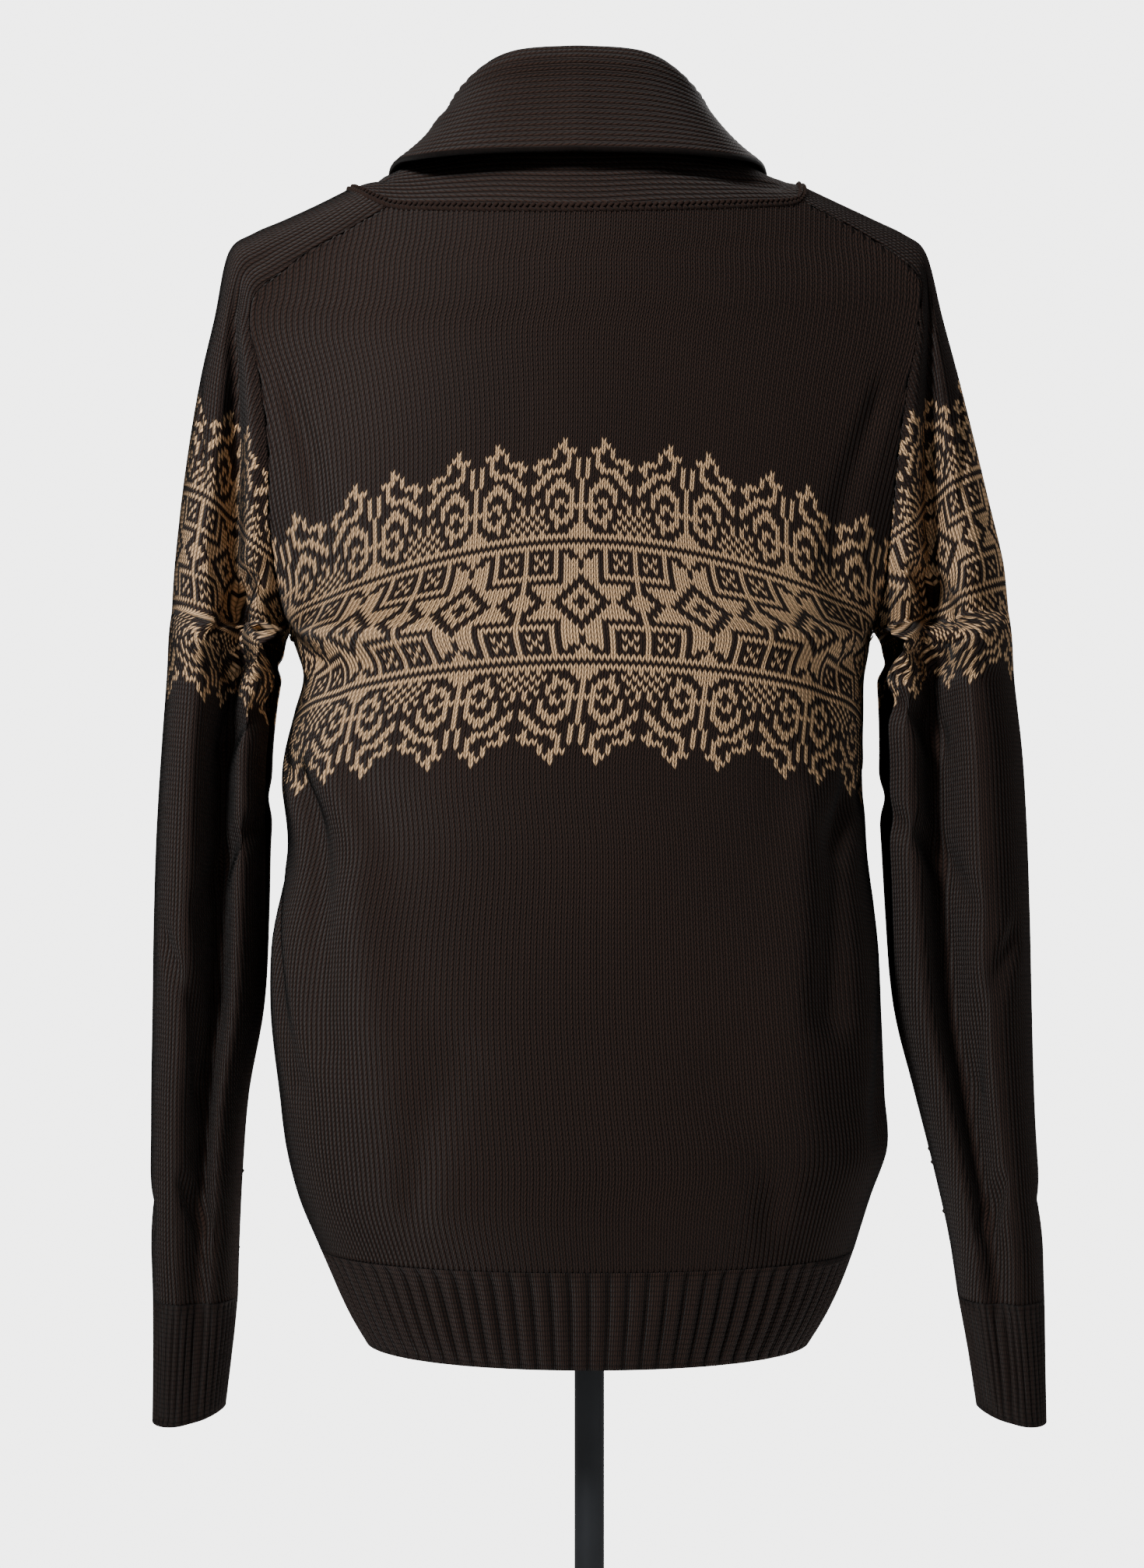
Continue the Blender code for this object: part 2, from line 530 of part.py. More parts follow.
def ribbed(name, make_line, levels, ribs, rise, material, closed=False):
    """A ribbed band: raised outer points over a plain inside, three points to a rib."""
    count = ribs * 3 + 1
    base = np.array([evenly(make_line(level), count) for level in levels])
    raised = np.where(np.arange(count) % 3 == 0, 0.0, rise)
    if closed:
        base[:, -1] = base[:, 0]
    middle = base.mean(axis=(0, 1)) if closed else np.array([MIDDLE_X, 0.0, levels[0]])
    normals = grid_normals(base, middle, len(levels) if closed else 0)
    normals[..., 2] = 0.0
    normals = unit(normals)
    outer = base - normals * (rise - raised)[None, :, None]
    inner = base - normals * CLOTH
    edges = ("top",) if closed else ("top", "start", "end")
    shrink(outer, inner, edges)
    return wall(name, outer, inner, material, closed_rows=len(levels) if closed else 0)


def make_hem():
    """The three hem pieces."""
    levels = (HEM_BOTTOM, HEM_TOP)

    def front_part(start_x, end_x):
        return lambda level: cut_line(low_line(level, "front"),
                                      low_line(level, "front")[0, 0] if start_x is None else start_x,
                                      low_line(level, "front")[-1, 0] if end_x is None else end_x)

    ribbed("hem_back", lambda level: low_line(level, "back"), levels, HEM_BACK_RIBS, HEM_RIB_RISE, rib_knit)
    ribbed("hem_front_left", front_part(None, LEFT_EDGE_X), levels, HEM_FRONT_RIBS, HEM_RIB_RISE, rib_knit)
    ribbed("hem_front_right", front_part(RIGHT_EDGE_X, None), levels, HEM_FRONT_RIBS, HEM_RIB_RISE,
           rib_knit)


def make_cuffs():
    """Both cuffs, closed rings of narrow ribs."""
    levels = (CUFF_BOTTOM, CUFF_TOP)
    for hand, name in ((LEFT, "cuff_left"), (RIGHT, "cuff_right")):
        ribbed(name, lambda level: sleeve_ring(hand, level), levels, CUFF_RIBS, CUFF_RIB_RISE, rib_knit,
               closed=True)


def collar_section(seam, fold, edge, outward, sag):
    """One section of the folded collar's middle surface, from the seam over the fold to the free edge."""
    to_seam, to_edge = unit(seam - fold), unit(edge - fold)
    turned_over = math.sqrt(max(0.0, (1 + to_seam @ to_edge) / 2))
    spread = outward * COLLAR_ROLL * turned_over
    before = fold - spread + to_seam * ROLL_REACH * COLLAR_ROLL
    after = fold + spread + to_edge * ROLL_REACH * COLLAR_ROLL
    stand = [seam + (before - seam) * t - outward * sag * 4 * t * (1 - t) for t in STAND_AT]
    fall = [after + (edge - after) * t - outward * sag * FALL_SAG * 4 * t * (1 - t) for t in FALL_AT]
    return [seam] + stand + [before, fold, after] + fall


def neck_edge(outer, inner):
    """The neck edge's outer and inner points and the direction across it, left front round to right."""
    low = len(LEVELS) + len(BAND_ROWS) - 1
    top = len(LEVELS) + ROWS - 2
    stops = []

    def add(name, row, at, *towards):
        point = outer[name][row, at]
        steps = [unit(point - outer[name][row + back_row, at + back_at]) for back_row, back_at in towards]
        stops.append((point, inner[name][row, at], unit(sum(steps))))

    for row in range(low, top):
        add("front_left", row, -1, (0, -1))
    add("front_left", top, -1, (0, -1), (-1, 0))
    add("front_left", top, 0, (-1, 0))
    saddle = range(SLEEVE_STEPS - 1, 0, -2)
    for at in saddle:
        add("sleeve_left", -1, at, (-1, 0))
    for at in range(1, BODY_STEPS):
        add("back", -1, at, (-1, 0))
    for at in reversed(saddle):
        add("sleeve_right", -1, at, (-1, 0))
    add("front_right", top, -1, (-1, 0))
    add("front_right", top, 0, (0, 1), (-1, 0))
    for row in range(top - 1, low - 1, -1):
        add("front_right", row, 0, (0, 1))
    return [np.array(part) for part in zip(*stops)]


def make_collar(outer, inner):
    """The shawl collar, standing on the neck edge and folded over."""
    seam, under, step = neck_edge(outer, inner)
    normal = unit(seam - under)
    for _ in range(COLLAR_SMOOTHING):
        step[1:-1] = unit(step[:-2] + 2 * step[1:-1] + step[2:])
        normal[1:-1] = unit(normal[:-2] + 2 * normal[1:-1] + normal[2:])
    lengths = np.concatenate(([0.0], np.cumsum(np.linalg.norm(np.diff(seam, axis=0), axis=1))))
    back = slice(len(seam) // 3, -len(seam) // 3)
    middle = np.interp(MIDDLE_X, seam[back, 0], lengths[back])
    sink = np.clip((lengths - middle - COLLAR_SINK_FROM) / COLLAR_SINK_OVER, 0.0, 1.0)[:, None]
    sink = sink * normal * (COLLAR_CLOTH + LAID_GAP)
    sections = []
    for at in range(len(seam)):
        away = lengths[at] - middle
        sign, hand = (1, "right") if away > 0 else (-1, "left")
        table = COLLAR + COLLAR_END[hand]
        value = {name: smooth(abs(away), table, COLLAR_COLUMNS, name, key="along")[0]
                 for name in COLLAR_COLUMNS}
        fold = np.array([MIDDLE_X + sign * value["fold_x"], value["fold_y"], value["fold_z"]])
        edge = np.array([MIDDLE_X + sign * value["edge_x"], value["edge_y"], value["edge_z"]])
        root = (seam[at] + under[at]) / 2 + step[at] * 2 * HALF_GAP - sink[at]
        sections.append(collar_section(root, fold, edge, normal[at], value["sag"]))
    sheet = np.array(sections).transpose(1, 0, 2)
    sheet[:, [0, -1], 2] += 2 * LAID_GAP
    normals = grid_normals(sheet, np.zeros(3))
    normals *= np.sign(np.sum(normals[0] * normal))
    front, rear = sheet + normals * COLLAR_CLOTH / 2, sheet - normals * COLLAR_CLOTH / 2
    front[0], rear[0] = seam + step * 2 * HALF_GAP - sink, under + step * 2 * HALF_GAP - sink
    for grid in (front, rear):
        grid[0, [0, -1], 2] += 2 * LAID_GAP
    wall("collar", front, rear, rib_knit)


def make_bands():
    """The front bands from hem to neck point, the left one over the right one."""
    levels = [HEM_BOTTOM] + LEVELS
    lines = [low_line(level, "front") for level in levels]
    lines += [high_line(row, "front") for row in BAND_ROWS]
    spans = (("band_left", LEFT_EDGE_X, RIGHT_EDGE_X - 2 * HALF_GAP, 0.0),
             ("band_right", LEFT_EDGE_X + UNDER_BAND_START, RIGHT_EDGE_X + UNDER_BAND_END,
              CLOTH + LAID_GAP))
    for name, start, end, sunk in spans:
        base = np.array([evenly(cut_line(line, start, end), BAND_STEPS + 1) for line in lines])
        normals = grid_normals(base, np.array([0.0, 0.0, 1.0]))
        outer = base - normals * sunk
        inner = outer - normals * CLOTH
        shrink(outer, inner, ("start",))
        wall(name, outer, inner, rib_knit)


def turned(name, profile, steps, material):
    """A solid turned about its own Z axis. The profile runs down its outer side, top to bottom."""
    mesh = bpy.data.meshes.new(name)
    points = [(radius, 0.0, height) for radius, height in profile]
    mesh.from_pydata(points, [(i, i + 1) for i in range(len(points) - 1)], [])
    item = new_object(name, mesh, material)
    screw = item.modifiers.new("turn", "SCREW")
    screw.steps = screw.render_steps = steps
    screw.use_merge_vertices = True
    screw.merge_threshold = 0.00001
    screw.use_smooth_shade = True
    return item


def make_buttons():
    """Five buttons down the left band."""
    rim, dish = BUTTON_RADIUS * 0.82, BUTTON_THICKNESS * 0.3
    half = BUTTON_THICKNESS / 2
    profile = ((0.0, half - dish), (rim * 0.75, half - dish), (rim, half), (BUTTON_RADIUS, half * 0.3),
               (rim, -half), (0.0, -half))
    for index in range(BUTTONS):
        height = BUTTON_TOP_Z - index * BUTTON_STEP
        levels = np.clip((height - BUTTON_RADIUS, height, height + BUTTON_RADIUS), HEM_BOTTOM, LEVELS[-1])
        depth = max(low_line(level, "front")[:, 1].max() for level in levels)
        button = turned(f"button_{index + 1}", profile, BUTTON_SIDES, horn)
        button.location = (0.0, depth + half + LAID_GAP, height)
        button.rotation_euler = (-math.pi / 2, 0.0, 0.0)


def make_form():
    """The dress form: torso, shoulders and neck in one smooth body."""
    angle = np.linspace(0.0, 2 * math.pi, FORM_STEPS, endpoint=False)
    rings = []
    for row in FORM:
        value = dict(zip(FORM_COLUMNS, row))
        power = value["power"]
        squash = (np.abs(np.cos(angle)) ** power + np.abs(np.sin(angle)) ** power) ** (1.0 / power)
        depth = np.where(np.sin(angle) > 0, value["front"] - SEAM_Y, SEAM_Y - value["back"])
        x = MIDDLE_X + value["half_width"] * np.cos(angle) / squash
        y = SEAM_Y + depth * np.sin(angle) / squash
        rings.append(np.column_stack((x, y, np.full(FORM_STEPS, value["z"]))))
    shape = bmesh.new()
    loops = [[shape.verts.new(point) for point in ring] for ring in rings]
    for below, above in zip(loops, loops[1:]):
        for at in range(FORM_STEPS):
            after = (at + 1) % FORM_STEPS
            shape.faces.new((below[at], below[after], above[after], above[at]))
    shape.faces.new(loops[0][::-1])
    shape.faces.new(loops[-1])
    bmesh.ops.recalc_face_normals(shape, faces=shape.faces)
    mesh = bpy.data.meshes.new("dress_form")
    shape.to_mesh(mesh)
    shape.free()
    mesh.shade_smooth()
    mesh.set_sharp_from_angle(angle=math.radians(FORM_SHARP))
    new_object("dress_form", mesh, linen)


def make_stand():
    """The pole and the round base it stands in."""
    top = FORM[0][0] - 2 * HALF_GAP
    pole = bmesh.new()
    bmesh.ops.create_cone(pole, cap_ends=True, segments=POLE_SIDES, radius1=POLE_RADIUS,
                          radius2=POLE_RADIUS, depth=top - POLE_BOTTOM)
    mesh = bpy.data.meshes.new("stand_pole")
    pole.to_mesh(mesh)
    pole.free()
    item = new_object("stand_pole", mesh, black)
    item.location = (0.0, 0.0, (top + POLE_BOTTOM) / 2)
    edge = BASE_THICKNESS * 0.4
    hub_top = POLE_BOTTOM - LAID_GAP
    profile = ((0.0, hub_top), (HUB_RADIUS - HUB_EDGE, hub_top), (HUB_RADIUS, hub_top - HUB_EDGE),
               (HUB_RADIUS, BASE_THICKNESS), (BASE_RADIUS - edge, BASE_THICKNESS),
               (BASE_RADIUS, BASE_THICKNESS - edge), (BASE_RADIUS, 0.0), (0.0, 0.0))
    turned("stand_base", profile, BASE_SIDES, black)


for old in list(bpy.data.objects):
    bpy.data.objects.remove(old, do_unlink=True)
collection = bpy.data.collections.new(COLLECTION)
bpy.context.scene.collection.children.link(collection)
knit = surface("dark_brown_knit", (0.022, 0.015, 0.012), 0.9)
rib_knit = surface("dark_brown_rib", (0.022, 0.015, 0.012), 0.9)
horn = surface("horn", (0.05, 0.03, 0.02), 0.35)
linen = surface("form_cover", (0.02, 0.02, 0.022), 0.8)
black = surface("black_steel", (0.01, 0.01, 0.011), 0.4)

panels_outer, panels_inner = make_panels()
make_hem()
make_cuffs()
make_collar(panels_outer, panels_inner)
make_bands()
make_buttons()
make_form()
make_stand()
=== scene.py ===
"""Looks of a knitted shawl-collar cardigan on a limbless dress form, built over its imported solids.

Metres, +Z up. The wearer faces +Y, so the camera at -Y sees the back, as the photograph does.
"""
import math

import bmesh
import bpy
import numpy as np
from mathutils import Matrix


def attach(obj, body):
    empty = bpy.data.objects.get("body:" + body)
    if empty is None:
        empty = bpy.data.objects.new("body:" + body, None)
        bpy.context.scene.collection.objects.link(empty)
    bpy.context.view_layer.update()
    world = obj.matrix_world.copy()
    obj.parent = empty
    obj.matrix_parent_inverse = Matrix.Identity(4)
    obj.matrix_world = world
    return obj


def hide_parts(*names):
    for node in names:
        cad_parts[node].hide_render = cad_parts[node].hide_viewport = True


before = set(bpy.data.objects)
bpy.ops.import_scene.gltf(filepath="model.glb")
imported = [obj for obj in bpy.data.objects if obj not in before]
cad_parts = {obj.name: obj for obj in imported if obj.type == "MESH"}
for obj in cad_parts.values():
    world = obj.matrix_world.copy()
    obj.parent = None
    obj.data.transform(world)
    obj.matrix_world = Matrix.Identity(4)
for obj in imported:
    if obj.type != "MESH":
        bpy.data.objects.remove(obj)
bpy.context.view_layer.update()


# Camera. A level view of the back from 2.2 m, which takes in the garment and the pole's top.
# VIEW_HEIGHT is how much of the middle plane the picture takes in from top to bottom.
CAMERA_DISTANCE, CAMERA_X, CAMERA_Z, VIEW_HEIGHT = 2.2, -0.010, 0.961, 0.9063
SENSOR = 24.0


def put(name, data):
    """A new object in the scene, at the origin."""
    item = bpy.data.objects.new(name, data)
    bpy.context.scene.collection.objects.link(item)
    return item


camera_data = bpy.data.cameras.new("camera")
camera_data.sensor_fit = "VERTICAL"
camera_data.sensor_height = SENSOR
camera_data.lens = SENSOR * CAMERA_DISTANCE / VIEW_HEIGHT
camera_data.clip_end = 50.0
camera = put("camera", camera_data)
camera.location = (CAMERA_X, -CAMERA_DISTANCE, CAMERA_Z)
camera.rotation_euler = (math.pi / 2, 0.0, 0.0)
bpy.context.scene.camera = camera


# Studio. A pale sweep of paper underfoot that fades into an even pale backdrop, which is brighter
# than the light it throws. A soft lamp high on the left lights the back, with weak broad lights around.
class Socket:
    """A shader socket whose arithmetic adds Math nodes."""

    def __init__(self, tree, link):
        self.tree = tree
        self.link = link

    def maths(self, operation, *others):
        return self.tree.node("ShaderNodeMath", {"operation": operation}, [self, *others])["Value"]

    def __add__(self, other):
        return self.maths("ADD", other)

    __radd__ = __add__

    def __mul__(self, other):
        return self.maths("MULTIPLY", other)

    __rmul__ = __mul__

    def __sub__(self, other):
        return self.maths("SUBTRACT", other)

    def __rsub__(self, other):
        return self.tree.node("ShaderNodeMath", {"operation": "SUBTRACT"}, [other, self])["Value"]

    def __pow__(self, other):
        return self.maths("POWER", other)

    def humps(self, power):
        """Rounded humps, one for each whole step of this value, with creases between them."""
        return (self * math.pi).maths("SINE").maths("ABSOLUTE") ** power


class Material:
    """A node material. node() adds any node and gives its outputs by name."""

    def __init__(self, name):
        self.material = bpy.data.materials.new(name)
        self.material.use_nodes = True
        self.nodes = self.material.node_tree.nodes
        self.shader = self.nodes["Principled BSDF"]
        self.out = self.nodes["Material Output"]
        self.place = self.node("ShaderNodeTexCoord")["Object"]

    def feed(self, node, key, value):
        socket = node.inputs[key]
        if isinstance(value, Socket):
            self.material.node_tree.links.new(value.link, socket)
        elif value is not None:
            socket.default_value = value

    def node(self, kind, settings=None, inputs=None):
        node = self.nodes.new(kind)
        for name, value in (settings or {}).items():
            if name == "stops":
                for stop, (at, color) in zip(node.color_ramp.elements, value):
                    stop.position, stop.color = at, color
            else:
                setattr(node, name, value)
        pairs = inputs.items() if isinstance(inputs, dict) else enumerate(inputs or [])
        for key, value in pairs:
            self.feed(node, key, value)
        return {socket.name: Socket(self, socket) for socket in node.outputs if socket.enabled}

    def set(self, **values):
        for name, value in values.items():
            self.feed(self.shader, name.replace("_", " "), value)

    def mix(self, factor, first, second):
        node = self.node("ShaderNodeMix", {"data_type": "RGBA"}, {0: factor, 6: first, 7: second})
        return node["Result"]

    def noise(self, scale, detail, roughness=0.5, distortion=0.0):
        inputs = {"Vector": self.place, "Scale": scale, "Detail": detail, "Roughness": roughness,
                  "Distortion": distortion}
        return self.node("ShaderNodeTexNoise", None, inputs)["Fac"]

    def bump(self, height, distance):
        made = self.node("ShaderNodeBump", None, {"Height": height, "Distance": distance, "Strength": 1.0})
        self.feed(self.shader, "Normal", made["Normal"])


FLOOR_RADIUS, FLOOR_Z, FLOOR_SIDES = 4.0, -0.0005, 64
FADE_FROM, FADE_TO = 0.25, 1.7
floor_mesh = bpy.data.meshes.new("floor")
floor_ring = [(FLOOR_RADIUS * math.cos(angle), FLOOR_RADIUS * math.sin(angle), FLOOR_Z)
              for angle in np.linspace(0, 2 * math.pi, FLOOR_SIDES + 1)[:-1]]
floor_mesh.from_pydata(floor_ring, [], [tuple(range(FLOOR_SIDES))])
floor = put("floor", floor_mesh)
paper = Material("pale_paper")
paper.set(Base_Color=(0.86, 0.86, 0.85, 1.0), Roughness=0.9, Emission_Color=(1.0, 1.0, 1.0, 1.0),
          Emission_Strength=1.1)
radius = paper.node("ShaderNodeVectorMath", {"operation": "LENGTH"}, [paper.place])["Value"]
fade = paper.node("ShaderNodeMapRange", {"interpolation_type": "SMOOTHSTEP"},
                  {"Value": radius, "From Min": FADE_FROM, "From Max": FADE_TO})["Result"]
clear = paper.node("ShaderNodeBsdfTransparent")["BSDF"]
surface = paper.node("ShaderNodeMixShader", None,
                     [fade, Socket(paper, paper.shader.outputs["BSDF"]), clear])["Shader"]
paper.feed(paper.out, "Surface", surface)
floor_mesh.materials.append(paper.material)

world = bpy.data.worlds.new("surround")
world.use_nodes = True
sky = world.node_tree
BACKDROP, AMBIENT = 4.4, 0.20
backdrop, ambient = sky.nodes["Background"], sky.nodes.new("ShaderNodeBackground")
for source, color, strength in ((backdrop, (1.0, 0.998, 0.992, 1.0), BACKDROP),
                                (ambient, (1.0, 1.0, 1.0, 1.0), AMBIENT)):
    source.inputs["Color"].default_value = color
    source.inputs["Strength"].default_value = strength
seen, either = sky.nodes.new("ShaderNodeLightPath"), sky.nodes.new("ShaderNodeMixShader")
for number, output in enumerate((seen.outputs["Is Camera Ray"], ambient.outputs["Background"],
                                 backdrop.outputs["Background"])):
    sky.links.new(output, either.inputs[number])
sky.links.new(either.outputs["Shader"], sky.nodes["World Output"].inputs["Surface"])
bpy.context.scene.world = world

for light_name, kind, place, size, power, aim in (
        ("key", "SPOT", (-1.1, -2.1, 2.35), 0.25, 410.0, (-0.05, 0.0, 1.06)),
        ("fill", "AREA", (2.4, -1.8, 1.6), 1.8, 5.0, (0.0, 0.0, 0.95)),
        ("front", "AREA", (0.8, 2.6, 2.2), 1.8, 120.0, (0.0, 0.0, 1.0))):
    light_data = bpy.data.lights.new(light_name, kind)
    light_data.energy = power
    if kind == "SPOT":
        light_data.shadow_soft_size = size
        light_data.spot_size, light_data.spot_blend = math.radians(30), 1.0
    else:
        light_data.shape = "DISK"
        light_data.size = size
    light = put(light_name, light_data)
    light.location = place
    towards = np.array(aim) - np.array(place)
    flat = math.hypot(towards[0], towards[1])
    light.rotation_euler = (math.pi / 2 + math.atan2(towards[2], flat), 0.0,
                            math.atan2(towards[1], towards[0]) - math.pi / 2)


# Back panel. Plain jersey in dark brown wool with a star band in beige across it, knitted from the
# hem up to the neck and linked to the fronts at the sides and to the sleeves along armhole and saddle.
STITCH, ROW = 0.00329, 0.00275
LEG_SLANT = 0.85
MIDDLE_X, SEAM_Y = -0.0067, 0.004
HEM_BOTTOM, HEM_TOP = 0.640, 0.6945

# z, left, right, back, front, power
BODY = (
    (0.6400, -0.1290, 0.1270, -0.118, 0.122, 2.10),
    (0.6580, -0.1395, 0.1380, -0.121, 0.124, 2.15),
    (0.6760, -0.1475, 0.1462, -0.124, 0.126, 2.20),
    (0.6945, -0.1555, 0.1530, -0.127, 0.128, 2.25),
    (0.7250, -0.1680, 0.1625, -0.131, 0.131, 2.30),
    (0.7500, -0.1745, 0.1712, -0.130, 0.131, 2.30),
    (0.7840, -0.1790, 0.1700, -0.125, 0.129, 2.30),
    (0.8320, -0.1840, 0.1685, -0.120, 0.127, 2.25),
    (0.8700, -0.1828, 0.1670, -0.116, 0.126, 2.20),
    (0.9230, -0.1745, 0.1605, -0.112, 0.125, 2.15),
    (0.9750, -0.1770, 0.1580, -0.113, 0.126, 2.15),
    (1.0020, -0.1705, 0.1585, -0.115, 0.128, 2.20),
    (1.0250, -0.1650, 0.1590, -0.117, 0.129, 2.20),
    (1.0480, -0.1730, 0.1635, -0.119, 0.130, 2.35),
)
# back, front, middle_z, power, end_power, neck_edge
UPPER = (
    (-0.119, 0.130, 1.048, 2.35, 0.43, 0.0),
    (-0.120, 0.130, 1.062, 2.30, 0.58, 0.0),
    (-0.121, 0.129, 1.081, 2.20, 0.78, 0.0),
    (-0.122, 0.126, 1.113, 2.15, 0.90, 0.018),
    (-0.121, 0.121, 1.150, 2.15, 0.98, 0.032),
    (-0.118, 0.114, 1.182, 2.15, 1.12, 0.046),
    (-0.113, 0.106, 1.209, 2.15, 1.25, 0.059),
    (-0.109, 0.100, 1.226, 2.15, 1.30, 0.067),
    (-0.105, 0.095, 1.239, 2.15, 1.30, 0.075),
    (-0.101, 0.089, 1.251, 2.15, 1.25, 0.083),
    (-0.096, 0.081, 1.264, 2.15, 1.15, 0.090),
    (-0.088, 0.072, 1.281, 2.15, 1.05, 0.096),
)
# crest x, z; back seam x, y, z; front seam x, y, z; angle
SHOULDER = {
    "left": (
        (-0.2415, 1.058, -0.1730, 0.004, 1.0480, -0.1730, 0.004, 1.0480, -90),
        (-0.2405, 1.074, -0.1755, -0.022, 1.0590, -0.1755, 0.029, 1.0590, -66),
        (-0.2390, 1.092, -0.1775, -0.044, 1.0760, -0.1775, 0.050, 1.0760, -46),
        (-0.2354, 1.126, -0.1805, -0.060, 1.1100, -0.1800, 0.066, 1.1100, -22),
        (-0.2304, 1.162, -0.1810, -0.062, 1.1500, -0.1800, 0.067, 1.1500, -8),
        (-0.2240, 1.198, -0.1860, -0.057, 1.1900, -0.1835, 0.061, 1.1900, 2),
        (-0.2165, 1.230, -0.1925, -0.050, 1.2200, -0.1880, 0.053, 1.2220, 12),
        (-0.2085, 1.268, -0.1895, -0.046, 1.2385, -0.1865, 0.050, 1.2420, 22),
        (-0.1945, 1.279, -0.1765, -0.045, 1.2497, -0.1745, 0.050, 1.2520, 28),
        (-0.1770, 1.2865, -0.1600, -0.045, 1.2625, -0.1590, 0.050, 1.2640, 30),
        (-0.1580, 1.2950, -0.1380, -0.047, 1.2745, -0.1385, 0.052, 1.2750, 30),
        (-0.1385, 1.3045, -0.1140, -0.050, 1.2877, -0.1150, 0.054, 1.2870, 28)),
    "right": (
        (0.2425, 1.058, 0.1635, 0.004, 1.0480, 0.1635, 0.004, 1.0480, -90),
        (0.2410, 1.074, 0.1655, -0.022, 1.0590, 0.1655, 0.029, 1.0590, -66),
        (0.2385, 1.092, 0.1675, -0.044, 1.0760, 0.1675, 0.050, 1.0760, -46),
        (0.2305, 1.126, 0.1700, -0.058, 1.1100, 0.1700, 0.066, 1.1100, -22),
        (0.2220, 1.162, 0.1740, -0.058, 1.1500, 0.1730, 0.067, 1.1500, -8),
        (0.2130, 1.198, 0.1800, -0.052, 1.1900, 0.1780, 0.062, 1.1900, 2),
        (0.2045, 1.230, 0.1865, -0.043, 1.2220, 0.1810, 0.056, 1.2200, 12),
        (0.1950, 1.268, 0.1880, -0.037, 1.2470, 0.1790, 0.056, 1.2370, 22),
        (0.1830, 1.279, 0.1770, -0.036, 1.2600, 0.1660, 0.057, 1.2470, 28),
        (0.1650, 1.2875, 0.1610, -0.037, 1.2710, 0.1500, 0.057, 1.2590, 30),
        (0.1450, 1.2965, 0.1430, -0.039, 1.2810, 0.1290, 0.058, 1.2710, 30),
        (0.1215, 1.3070, 0.1220, -0.043, 1.2910, 0.1050, 0.058, 1.2840, 28)),
}
SEAM_COLUMN = {"back": 2, "front": 5}
BETWEEN_ROWS = 4
LINE_POINTS, BODY_COLUMNS = 481, 321
BODY_MIDDLE = np.array((MIDDLE_X, 0.0, 1.0))


def through(at, keys, values):
    """A smooth curve through values at rising keys, read at other places."""
    keys, values = np.asarray(keys, float), np.asarray(values, float)
    slopes = np.gradient(values, keys, axis=0)
    at = np.clip(np.atleast_1d(at), keys[0], keys[-1])
    i = np.clip(np.searchsorted(keys, at, side="right") - 1, 0, len(keys) - 2)
    step = keys[i + 1] - keys[i]
    t = (at - keys[i]) / step
    shape = (-1,) + (1,) * (values.ndim - 1)
    t, step = t.reshape(shape), step.reshape(shape)
    start = (2 * t**3 - 3 * t**2 + 1) * values[i] + (t**3 - 2 * t**2 + t) * step * slopes[i]
    return start + (3 * t**2 - 2 * t**3) * values[i + 1] + (t**3 - t**2) * step * slopes[i + 1]


def finer(table):
    """A shoulder table with more rows, so that pieces built from it share one seam."""
    return through(np.arange(0, len(table) - 1 + 1e-9, 1 / BETWEEN_ROWS), np.arange(len(table)), table)


UPPER = finer(UPPER)
SHOULDER = {hand: finer(table) for hand, table in SHOULDER.items()}


def unit(vectors):
    """Vectors of any grid or line brought to length one."""
    return vectors / np.maximum(np.linalg.norm(vectors, axis=-1, keepdims=True), 1e-9)


def run_along(points):
    """How far along a line each of its points lies."""
    return np.concatenate(([0.0], np.cumsum(np.linalg.norm(np.diff(points, axis=0), axis=1))))


def line_lengths(grid):
    """The length of each line of a grid."""
    return np.linalg.norm(np.diff(grid, axis=1), axis=2).sum(axis=1)


def spot(at, run, points):
    """The spots on a line of points at one or more places along it."""
    return np.stack([np.interp(at, run, points[:, axis]) for axis in range(3)], axis=-1)


def evenly(points, count):
    """A line with its points spread evenly along its length."""
    run = run_along(points)
    return spot(np.linspace(0.0, run[-1], count), run, points)


def at_row(row, values):
    """A value that is given for each line of a grid, read at knitted rows."""
    return np.interp(row * 2, np.arange(len(values)), values)


def odd_count(width, wale):
    """An odd count of wales across a width, so that one of them is the middle one."""
    return int(round(width / wale / 2)) * 2 + 1


def body_line(left, right, depth_y, middle_z, power, end_power):
    """One level line of the back or front, from its left end to its right end."""
    across = np.sin(np.linspace(-math.pi / 2, math.pi / 2, LINE_POINTS))
    bulge = (1 - np.abs(across) ** power) ** end_power
    middle, half = (left + right) / 2, (right - left) / 2
    line = middle + np.outer(across, half)
    line[:, 1] += bulge * (depth_y - middle[1])
    line[:, 2] += (1 - across**2) * (middle_z - middle[2])
    return line


def low_line(level, side):
    """The whole back or front line at one height below the armholes."""
    z, left, right, back, front, power = through(level, [row[0] for row in BODY], BODY)[0]
    ends = np.array([left, SEAM_Y, level]), np.array([right, SEAM_Y, level])
    return body_line(*ends, back if side == "back" else front, level, power, 1 / power)


def high_line(row, side):
    """The whole back or front line at one shoulder row."""
    back, front, middle_z, power, end_power, _ = UPPER[row]
    column = SEAM_COLUMN[side]
    ends = [SHOULDER[hand][row][column:column + 3] for hand in ("left", "right")]
    return body_line(*ends, back if side == "back" else front, middle_z, power, end_power)


def cloth_grid(lines, columns):
    """A fine grid through lines of points, two lines a knitted row.

    It comes with its count of rows, and with how far along its middle the given lines lie.
    """
    control = np.array([evenly(line, columns) for line in lines])
    run = run_along(control[:, columns // 2])
    rows = int(round(run[-1] / ROW))
    return through(np.linspace(0.0, run[-1], 2 * rows + 1), run, control), rows, run


def outward(grid, middle):
    """The directions out of a grid of points."""
    normals = unit(np.cross(np.gradient(grid, axis=1), np.gradient(grid, axis=0)))
    return normals * np.sign(np.sum(normals * (grid - middle)))


